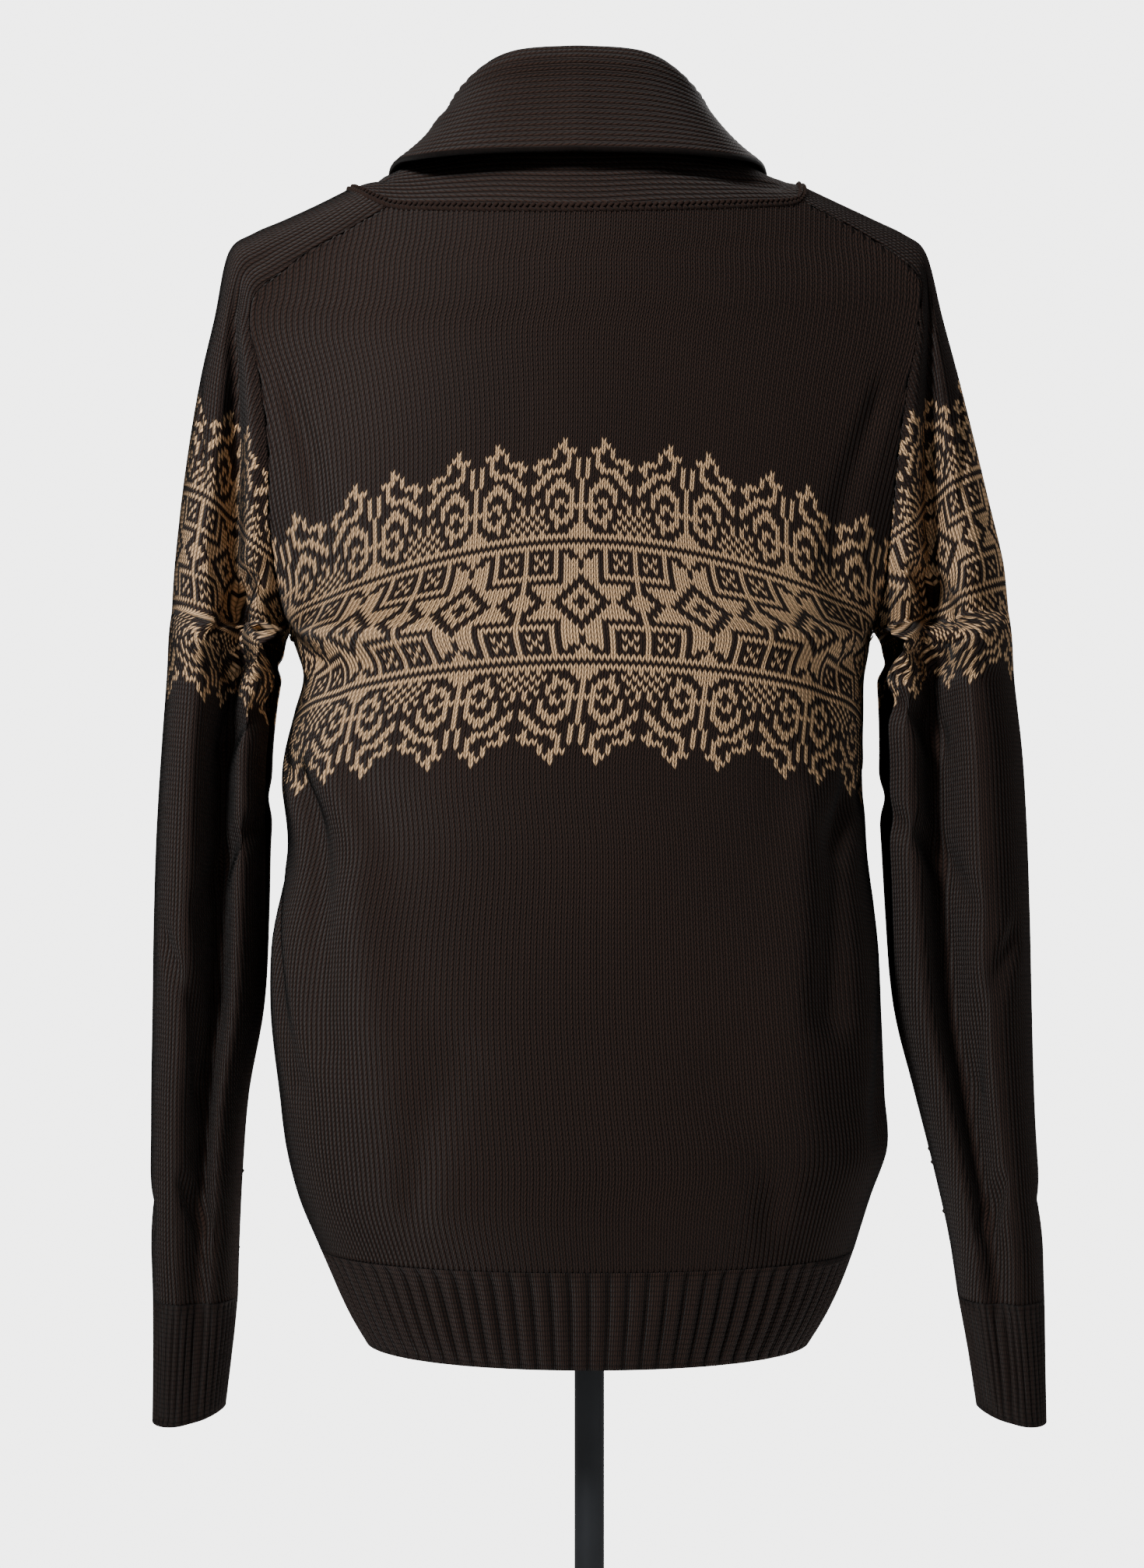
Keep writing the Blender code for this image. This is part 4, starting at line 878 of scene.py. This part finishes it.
COLLAR_END = {
    "left": ((0.418, 0.0080, 0.1250, 1.1510, 0.0300, 0.1380, 1.1480, 0.0),
             (0.458, -0.0040, 0.1270, 1.1130, -0.0030, 0.1400, 1.1130, 0.0),
             (0.492, -0.0130, 0.1275, 1.0810, -0.0247, 0.1270, 1.0810, 0.0)),
    "right": ((0.430, 0.0125, 0.1230, 1.1500, 0.0190, 0.1360, 1.1480, 0.0),
              (0.468, 0.0120, 0.1215, 1.1130, 0.0045, 0.1215, 1.1130, 0.0),
              (0.500, 0.0020, 0.1232, 1.0810, -0.0090, 0.1232, 1.0810, 0.0)),
}


def neck_run():
    """The neck edge, left front round to right front, and the directions out of the cloth there."""
    points, normals = [], []

    def take(grid, middle, picks):
        out, columns = outward(grid, middle), grid.shape[1] - 1
        for row, share in picks:
            j = min(int(share * columns), columns - 1)
            part = share * columns - j
            for found, source in ((points, grid), (normals, out)):
                found.append((1 - part) * source[row, j] + part * source[row, j + 1])

    first = int(np.argmin(np.abs(front_grid[:, BODY_COLUMNS // 2, 2] - COLLAR_END_Z)))
    last = len(front_grid) - 1
    steps = range(first, last + 1, EDGE_STEP)
    left_cut, right_cut = front_cut["left"], front_cut["right"]
    take(front_grid, BODY_MIDDLE, [(row, left_cut[row]) for row in steps])
    take(front_grid, BODY_MIDDLE, [(last, share) for share in np.linspace(left_cut[-1], 0.0, 5)[1:-1]])
    for grid, middle, order in (
            (sleeve_grids["left"], sleeve_grids["left"].mean(axis=(0, 1)), np.linspace(0.93, 0.07, 14)),
            (back_grid, BODY_MIDDLE, np.linspace(0.01, 0.99, 40)),
            (sleeve_grids["right"], sleeve_grids["right"].mean(axis=(0, 1)), np.linspace(0.07, 0.93, 14))):
        take(grid, middle, [(len(grid) - 1, share) for share in order])
    take(front_grid, BODY_MIDDLE, [(last, share) for share in np.linspace(1.0, right_cut[-1], 5)[1:-1]])
    take(front_grid, BODY_MIDDLE, [(row, right_cut[row]) for row in reversed(steps)])
    return np.array(points), np.array(normals)


seam, seam_out = neck_run()
for _ in range(2):
    seam_out[1:-1] = seam_out[:-2] + 2 * seam_out[1:-1] + seam_out[2:]
    seam_out = unit(seam_out)
    seam[1:-1] = (seam[:-2] + 2 * seam[1:-1] + seam[2:]) / 4
seam_run = run_along(seam)
back_part = slice(len(seam) // 3, -len(seam) // 3)
seam_middle = np.interp(MIDDLE_X, seam[back_part, 0], seam_run[back_part])


def collar_section(at):
    """The folded section at one place along the seam, from the seam over the fold to the free edge."""
    out = spot(at, seam_run, seam_out)
    sign, hand = (1, "right") if at > seam_middle else (-1, "left")
    table, reach = COLLAR + COLLAR_END[hand], abs(at - seam_middle)
    row = through(reach, [line[0] for line in table], table)[0]
    fold = np.array([MIDDLE_X + sign * row[1], row[2], row[3]])
    edge = np.array([MIDDLE_X + sign * row[4], row[5], row[6]])
    sink = np.clip((reach - SINK_FROM) / SINK_OVER, 0.0, 1.0) * (COLLAR_CLOTH + LAID_GAP)
    root = spot(at, seam_run, seam) - out * (ROOT_SINK + sink)
    to_seam, to_edge = unit(root - fold), unit(edge - fold)
    over = math.sqrt(max(0.0, (1 + to_seam @ to_edge) / 2))
    before = fold - out * COLLAR_ROLL * over + to_seam * ROLL_REACH * COLLAR_ROLL
    after = fold + out * COLLAR_ROLL * over + to_edge * ROLL_REACH * COLLAR_ROLL
    stand = [root + (before - root) * t - out * row[7] * 4 * t * (1 - t) for t in (0.2, 0.4, 0.6, 0.8)]
    fall = [after + (edge - after) * t - out * row[7] * FALL_SAG * 4 * t * (1 - t)
            for t in (0.25, 0.5, 0.75, 1.0)]
    return np.array([root] + stand + [before, fold, after] + fall)


collar_lines = []
for at in np.linspace(0.0, seam_run[-1], COLLAR_STATIONS):
    section = collar_section(at)
    run = run_along(section)
    collar_lines.append(through(np.linspace(0, run[-1], SECTION_POINTS), run, section))
collar_grid, collar_rows, spine_run = cloth_grid(collar_lines, COLLAR_COLUMNS)
collar_width = line_lengths(collar_grid)
collar_normals = outward(collar_grid, BODY_MIDDLE)
collar_normals *= -np.sign(collar_normals[len(collar_grid) // 2, 5, 1])
COLLAR_FOLDS = (
    (0.06, 0.62, 0.11, 0.575, 0.004, 0.0020, 0.002), (0.12, 0.60, 0.16, 0.55, 0.004, 0.0016, -0.002),
    (0.10, 0.40, 0.06, 0.37, 0.004, 0.0018, 0.002), (0.80, 0.42, 0.72, 0.36, 0.008, 0.0015, 0.002),
)
collar_grid = crease(collar_grid, collar_normals, COLLAR_FOLDS,
                     (collar_rows * ROW, float(collar_width.max())))
COLLAR_WALES = odd_count(collar_width.max(), COLLAR_WALE)


def collar_place(row_at, wale_at):
    """Wales keep their distance from the free edge, and end at the seam where the strip is shaped."""
    return row_at, 1 - (COLLAR_WALES / 2 - wale_at) * COLLAR_WALE / at_row(row_at, collar_width)


def thick(item, wall, offset):
    """Gives a sheet the thickness of its cloth."""
    solid = item.modifiers.new("wall", "SOLIDIFY")
    solid.thickness = wall
    solid.offset = offset


collar_wool = wool("dark_brown_collar_knit", patterned=False)
collar = knit("collar_knit", collar_grid, collar_rows, COLLAR_WALES, collar_place, NO_BAND, collar_wool)
collar.data.flip_normals()
thick(collar, COLLAR_CLOTH, 0.0)
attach(collar, "root")
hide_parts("collar")
flat_cut(collar, collar_width.max(), spine_run[-1])


# Neck chain. The linking of collar to body shows as a raised braid of loops along the seam, two
# slanted rows of them, each loop a fat strand of the dark yarn.
chain_wool = wool("dark_brown_chain", patterned=False, depth=0.0003, stitched=False)
CHAIN_PITCH, CHAIN_SPREAD, CHAIN_LIFT, CHAIN_TILT, CHAIN_SLANT = 0.0036, 0.0013, 0.0004, 0.9, 0.62
LOOP_SIZE, LOOP_SMALLEST, LOOP_LARGEST, TILT_OVER = (0.0027, 0.0012, 0.0013), 0.92, 1.08, 0.05
loop_shape = bmesh.new()
bmesh.ops.create_uvsphere(loop_shape, u_segments=8, v_segments=5, radius=1.0)
bmesh.ops.scale(loop_shape, vec=LOOP_SIZE, verts=loop_shape.verts)
chain_loop = made_from(loop_shape, "chain_loop")

chain_tree = bpy.data.node_groups.new("stitches_along_a_seam", "GeometryNodeTree")
for label, kind, way in (("Seam", "NodeSocketGeometry", "INPUT"), ("Loop", "NodeSocketObject", "INPUT"),
                         ("Pitch", "NodeSocketFloat", "INPUT"), ("Yarn", "NodeSocketMaterial", "INPUT"),
                         ("Seed", "NodeSocketInt", "INPUT"), ("Slant", "NodeSocketFloat", "INPUT"),
                         ("Chain", "NodeSocketGeometry", "OUTPUT")):
    chain_tree.interface.new_socket(name=label, in_out=way, socket_type=kind)


def step(kind, settings=None, **links):
    """One node of the tree, with links or values for its named inputs."""
    node = chain_tree.nodes.new(kind)
    for key, value in (settings or {}).items():
        setattr(node, key, value)
    for key, value in links.items():
        socket = node.inputs[key.replace("_", " ")]
        if isinstance(value, bpy.types.NodeSocket):
            chain_tree.links.new(value, socket)
        else:
            socket.default_value = value
    return node


given = step("NodeGroupInput")
spread = step("GeometryNodeResampleCurve", {"mode": "LENGTH"}, Curve=given.outputs["Seam"],
              Length=given.outputs["Pitch"])
tangent = step("GeometryNodeInputTangent")
normal = step("GeometryNodeInputNormal")
upright = step("FunctionNodeAlignRotationToVector", {"axis": "X"}, Vector=tangent.outputs["Tangent"])
settled = step("FunctionNodeAlignRotationToVector", {"axis": "Z", "pivot_axis": "X"},
               Rotation=upright.outputs["Rotation"], Vector=normal.outputs["Normal"])
turn = step("FunctionNodeAxisAngleToRotation", Axis=(0.0, 0.0, 1.0), Angle=given.outputs["Slant"])
slanted = step("FunctionNodeRotateRotation", {"rotation_space": "LOCAL"},
               Rotation=settled.outputs["Rotation"], Rotate_By=turn.outputs["Rotation"])
sizes = step("FunctionNodeRandomValue", {"data_type": "FLOAT"}, Seed=given.outputs["Seed"])
sizes.inputs[2].default_value, sizes.inputs[3].default_value = LOOP_SMALLEST, LOOP_LARGEST
picked = step("GeometryNodeObjectInfo", Object=given.outputs["Loop"])
placed = step("GeometryNodeInstanceOnPoints", Points=spread.outputs["Curve"],
              Instance=picked.outputs["Geometry"], Rotation=slanted.outputs["Rotation"],
              Scale=sizes.outputs[1])
real = step("GeometryNodeRealizeInstances", Geometry=placed.outputs["Instances"])
dyed = step("GeometryNodeSetMaterial", Geometry=real.outputs["Geometry"], Material=given.outputs["Yarn"])
step("NodeGroupOutput", Chain=dyed.outputs["Geometry"])

tilt = seam_out.copy()
tilt[:, 1] -= CHAIN_TILT * np.clip(-seam[:, 1] / TILT_OVER, 0.0, 1.0)
tilt = unit(tilt)
seam_side = np.cross(unit(np.gradient(seam, axis=0)), tilt)
chain_shape = bmesh.new()
for number, (side, slant) in enumerate(((-CHAIN_SPREAD, CHAIN_SLANT), (CHAIN_SPREAD, -CHAIN_SLANT))):
    path = bpy.data.curves.new("chain_path", "CURVE")
    path.dimensions = "3D"
    spline = path.splines.new("POLY")
    line = seam + seam_side * side + tilt * CHAIN_LIFT
    spline.points.add(len(line) - 1)
    for point, where in zip(spline.points, line):
        point.co = (*where, 1.0)
    holder = put("chain_path", path)
    maker = holder.modifiers.new("chain", "NODES")
    maker.node_group = chain_tree
    inputs = {item.name: item.identifier for item in chain_tree.interface.items_tree
              if item.in_out == "INPUT"}
    for label, value in (("Loop", chain_loop), ("Pitch", CHAIN_PITCH), ("Yarn", chain_wool),
                         ("Seed", number), ("Slant", slant)):
        maker[inputs[label]] = value
    graph = bpy.context.evaluated_depsgraph_get()
    chain_shape.from_mesh(bpy.data.meshes.new_from_object(holder.evaluated_get(graph)))
    bpy.data.objects.remove(holder)
bpy.data.objects.remove(chain_loop)
neck_chain = made_from(chain_shape, "neck_chain", chain_wool)
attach(neck_chain, "root")


# Front bands. Two strips knitted lengthwise like the collar, sewn down both front edges. The left
# one lies over the right one and carries the buttons.
BAND_CLOTH, BAND_RELIEF, BAND_COLUMNS = 0.0026, 0.0006, 41
band_lines = [low_line(level, "front") for level in [HEM_BOTTOM] + body_levels]
band_lines += [high_line(row, "front") for row in UPPER_ROWS if UPPER[row][2] < NECK_POINT_Z]
BANDS = {"band_left": (LEFT_EDGE_X, RIGHT_EDGE_X, 0.0),
         "band_right": (LEFT_EDGE_X + 0.001, RIGHT_EDGE_X + 0.003, BAND_CLOTH + BAND_RELIEF + LAID_GAP)}
for node, (start_x, end_x, sunk) in BANDS.items():
    strips = [stretch_of(line, start_x, end_x) for line in band_lines]
    band_grid, band_rows, run = cloth_grid(strips, BAND_COLUMNS)
    band_grid = band_grid - outward(band_grid, BODY_MIDDLE) * (sunk - LAID_GAP)
    band_width = end_x - start_x
    band_wales = odd_count(band_width, COLLAR_WALE)
    band = knit(node + "_knit", band_grid, band_rows, band_wales,
                lambda row_at, wale_at: (row_at, 0.5 + wale_at / band_wales), NO_BAND, collar_wool,
                BAND_RELIEF)
    face_out(band, BODY_MIDDLE)
    thick(band, BAND_CLOTH, -1.0)
    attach(band, "root")
    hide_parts(node)


# Buttons. Five dark horn buttons with a raised rim, a dished middle and four holes, each sewn on
# with a cross of the dark yarn. The holes are not cut: each is a small near-black cap, a painted
# shadow of the hole.
BUTTON_RADIUS, BUTTON_THICKNESS = 0.0105, 0.0040
BUTTON_TOP_Z, BUTTON_STEP, BUTTONS, BUTTON_GAP = 1.064, 0.101, 5, 0.0006
HOLE_OUT, THREAD_HALF, THREAD_BOW = 0.0021, 0.0030, 0.0006
horn = Material("dark_horn")
streaks, grain = horn.noise(160.0, 4.0, distortion=1.5), horn.noise(900.0, 2.0)
horn.set(Base_Color=horn.mix(streaks, (0.012, 0.007, 0.004, 1.0), (0.11, 0.060, 0.030, 1.0)),
         Roughness=0.22 + 0.2 * grain)
horn.bump(grain, 0.00006)
# Painted shadow for the button holes: a near-black colour standing in for the shade inside them.
painted_hole_shadow = Material("button_hole_shadow")
painted_hole_shadow.set(Base_Color=(0.006, 0.005, 0.004, 1.0), Roughness=0.9)


def lathe(profile, steps, shape):
    """Rings of vertices turned about Z, joined into a closed skin. Ends on the axis are poles."""
    rings = []
    for radius, height in profile:
        turns = [2 * math.pi * i / steps for i in range(steps if radius else 1)]
        rings.append([shape.verts.new((radius * math.cos(turn), radius * math.sin(turn), height))
                      for turn in turns])
    faces = []
    for above, below in zip(rings, rings[1:]):
        for i in range(steps):
            j = (i + 1) % steps
            corners = [above[i % len(above)], below[i % len(below)], below[j % len(below)],
                       above[j % len(above)]]
            faces.append(shape.faces.new(list(dict.fromkeys(corners))))
    return [vertex for ring in rings for vertex in ring], faces


half = BUTTON_THICKNESS / 2
button_profile = [(0.0, half * 0.35), (0.0045, half * 0.38), (0.0068, half * 0.50), (0.0080, half * 0.85),
                  (0.0090, half), (0.0100, half * 0.75), (BUTTON_RADIUS, half * 0.1),
                  (0.0100, -half * 0.6), (0.0088, -half), (0.0, -half)]
buttons_shape = bmesh.new()
for number in range(BUTTONS):
    height = BUTTON_TOP_Z - number * BUTTON_STEP
    front_y = max(low_line(min(max(level, HEM_BOTTOM), body_levels[-1]), "front")[:, 1].max()
                  for level in (height - BUTTON_RADIUS, height, height + BUTTON_RADIUS))
    made, _ = lathe(button_profile, 40, buttons_shape)
    for x, y in ((1, 1), (-1, 1), (-1, -1), (1, -1)):
        # Each hole is a dark cap of painted shadow that sits on the button, not a cut through it.
        hole, hole_faces = lathe([(0.0, half * 0.52), (0.0010, half * 0.50), (0.0011, half * 0.3),
                                  (0.0, half * 0.3)], 12, buttons_shape)
        for face in hole_faces:
            face.material_index = 1
        for vertex in hole:
            vertex.co.x += x * HOLE_OUT
            vertex.co.y += y * HOLE_OUT
        made += hole
    for x, y in ((1, 1), (-1, 1)):
        strand, strand_faces = lathe([(0.0, THREAD_HALF), (0.0005, 0.0026), (0.0007, 0.0),
                                      (0.0005, -0.0026), (0.0, -THREAD_HALF)], 8, buttons_shape)
        turn_by = math.atan2(y, x)
        for vertex in strand:
            length, bow = vertex.co.z, THREAD_BOW * (1 - (vertex.co.z / THREAD_HALF) ** 2)
            side, up = vertex.co.x, vertex.co.y + half * 0.45 + bow
            vertex.co = (length * math.cos(turn_by) - side * math.sin(turn_by),
                         length * math.sin(turn_by) + side * math.cos(turn_by), up)
        for face in strand_faces:
            face.material_index = 2
        made += strand
    for vertex in made:
        x, y, z = vertex.co
        vertex.co = (x, front_y + half + BUTTON_GAP + z, height + y)
buttons = made_from(buttons_shape, "horn_buttons", horn.material, painted_hole_shadow.material, chain_wool)
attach(buttons, "root")
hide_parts("button_1", "button_2", "button_3", "button_4", "button_5")


# Dress form. A limbless torso with shoulders and a short neck, padded smooth under a dark jersey
# cover that is sewn together down the middle of the front and of the back.
# z, half width, back, front, power
FORM = (
    (0.7480, 0.1500, -0.100, 0.104, 2.2), (0.7560, 0.1570, -0.108, 0.112, 2.2),
    (0.7850, 0.1600, -0.110, 0.113, 2.2), (0.8400, 0.1570, -0.106, 0.110, 2.2),
    (0.9000, 0.1490, -0.100, 0.108, 2.2), (0.9600, 0.1460, -0.100, 0.109, 2.2),
    (1.0200, 0.1490, -0.104, 0.112, 2.2), (1.0800, 0.1560, -0.108, 0.112, 2.1),
    (1.1300, 0.1620, -0.109, 0.108, 2.0), (1.1750, 0.1680, -0.106, 0.100, 1.9),
    (1.2100, 0.1740, -0.098, 0.090, 1.8), (1.2350, 0.1800, -0.088, 0.080, 1.7),
    (1.2570, 0.1850, -0.074, 0.068, 1.6), (1.2738, 0.1840, -0.062, 0.057, 1.55),
    (1.2818, 0.1730, -0.056, 0.052, 1.55), (1.2892, 0.1560, -0.053, 0.050, 1.6),
    (1.2957, 0.1370, -0.053, 0.050, 1.6), (1.2997, 0.1180, -0.054, 0.050, 1.7),
    (1.3050, 0.0860, -0.054, 0.051, 1.8), (1.3160, 0.0650, -0.051, 0.051, 1.9),
    (1.3280, 0.0560, -0.047, 0.051, 2.0), (1.3420, 0.0500, -0.042, 0.050, 2.0),
    (1.3480, 0.0460, -0.038, 0.046, 2.0),
)
FORM_SIDES, FORM_SHARES, COVER_THREADS, COVER_SEAM = 96, (0.0, 0.34, 0.67), 5200.0, 0.0006
cover = Material("dark_form_cover")
cover_parts = cover.node("ShaderNodeSeparateXYZ", None, [cover.place])
weave_x, weave_z = [(cover_parts[axis] * COVER_THREADS).maths("SINE") for axis in ("X", "Z")]
lint = cover.noise(700.0, 3.0)
cover_seam = (cover_parts["X"] - MIDDLE_X).maths("ABSOLUTE").maths("LESS_THAN", COVER_SEAM)
cover.bump(0.2 * weave_x * weave_z + 0.5 * lint - 0.8 * cover_seam, 0.0003)
cover.set(Base_Color=cover.mix(lint, (0.012, 0.012, 0.013, 1.0), (0.034, 0.033, 0.034, 1.0)),
          Roughness=0.75 + 0.15 * lint, Sheen_Weight=0.1)
form_angles = np.linspace(0.0, 2 * math.pi, FORM_SIDES + 1)[:-1]
form_table = np.array(FORM)
form_rings = [this * (1 - share) + following * share
              for this, following in zip(form_table, form_table[1:]) for share in FORM_SHARES]
form_rings.append(form_table[-1])
form_shape = bmesh.new()
loops = []
for z, half_width, back_y, front_y, power in form_rings:
    ring = []
    for angle in form_angles:
        squash = (abs(math.cos(angle)) ** power + abs(math.sin(angle)) ** power) ** (1 / power)
        depth = front_y - SEAM_Y if math.sin(angle) > 0 else SEAM_Y - back_y
        ring.append(form_shape.verts.new((MIDDLE_X + half_width * math.cos(angle) / squash,
                                          SEAM_Y + depth * math.sin(angle) / squash, z)))
    loops.append(ring)
for below, above in zip(loops, loops[1:]):
    for i in range(FORM_SIDES):
        j = (i + 1) % FORM_SIDES
        form_shape.faces.new((below[i], below[j], above[j], above[i]))
form_shape.faces.new(loops[0][::-1])
form_shape.faces.new(loops[-1])
form = made_from(form_shape, "form_cover", cover.material, sharp=50)
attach(form, "root")
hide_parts("dress_form")


# Stand. A black powder-coated steel pole that carries the form on its upper end, in a round turned
# base with a small hub.
steel = Material("black_powder_coat")
orange_peel, dust = steel.noise(900.0, 2.0), steel.noise(30.0, 4.0)
steel.set(Base_Color=steel.mix(dust, (0.007, 0.0085, 0.011, 1.0), (0.014, 0.016, 0.020, 1.0)),
          Roughness=0.34 + 0.16 * dust, Metallic=0.0)
steel.bump(orange_peel, 0.00005)
POLE_RADIUS, POLE_TOP, POLE_BOTTOM, POLE_BEVEL = 0.0086, 0.7476, 0.0145, 0.0006
BASE_RADIUS, BASE_THICKNESS, HUB_RADIUS, HUB_TOP = 0.180, 0.010, 0.028, 0.0141
STAND_PROFILES = {
    "stand_pole": [(0.0, POLE_TOP), (POLE_RADIUS - POLE_BEVEL, POLE_TOP),
                   (POLE_RADIUS, POLE_TOP - POLE_BEVEL), (POLE_RADIUS, POLE_BOTTOM + POLE_BEVEL),
                   (POLE_RADIUS - POLE_BEVEL, POLE_BOTTOM), (0.0, POLE_BOTTOM)],
    "stand_base": [(0.0, HUB_TOP), (HUB_RADIUS - 0.002, HUB_TOP), (HUB_RADIUS - 0.0006, HUB_TOP - 0.0005),
                   (HUB_RADIUS, HUB_TOP - 0.002), (HUB_RADIUS, BASE_THICKNESS + 0.001),
                   (HUB_RADIUS + 0.001, BASE_THICKNESS), (BASE_RADIUS - 0.004, BASE_THICKNESS),
                   (BASE_RADIUS - 0.0012, BASE_THICKNESS - 0.0012), (BASE_RADIUS, BASE_THICKNESS - 0.004),
                   (BASE_RADIUS, 0.0), (0.0, 0.0)],
}
for node, profile in STAND_PROFILES.items():
    turned_shape = bmesh.new()
    lathe(profile, 96, turned_shape)
    turned = made_from(turned_shape, node + "_turned", steel.material, sharp=35)
    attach(turned, "root")
    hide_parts(node)
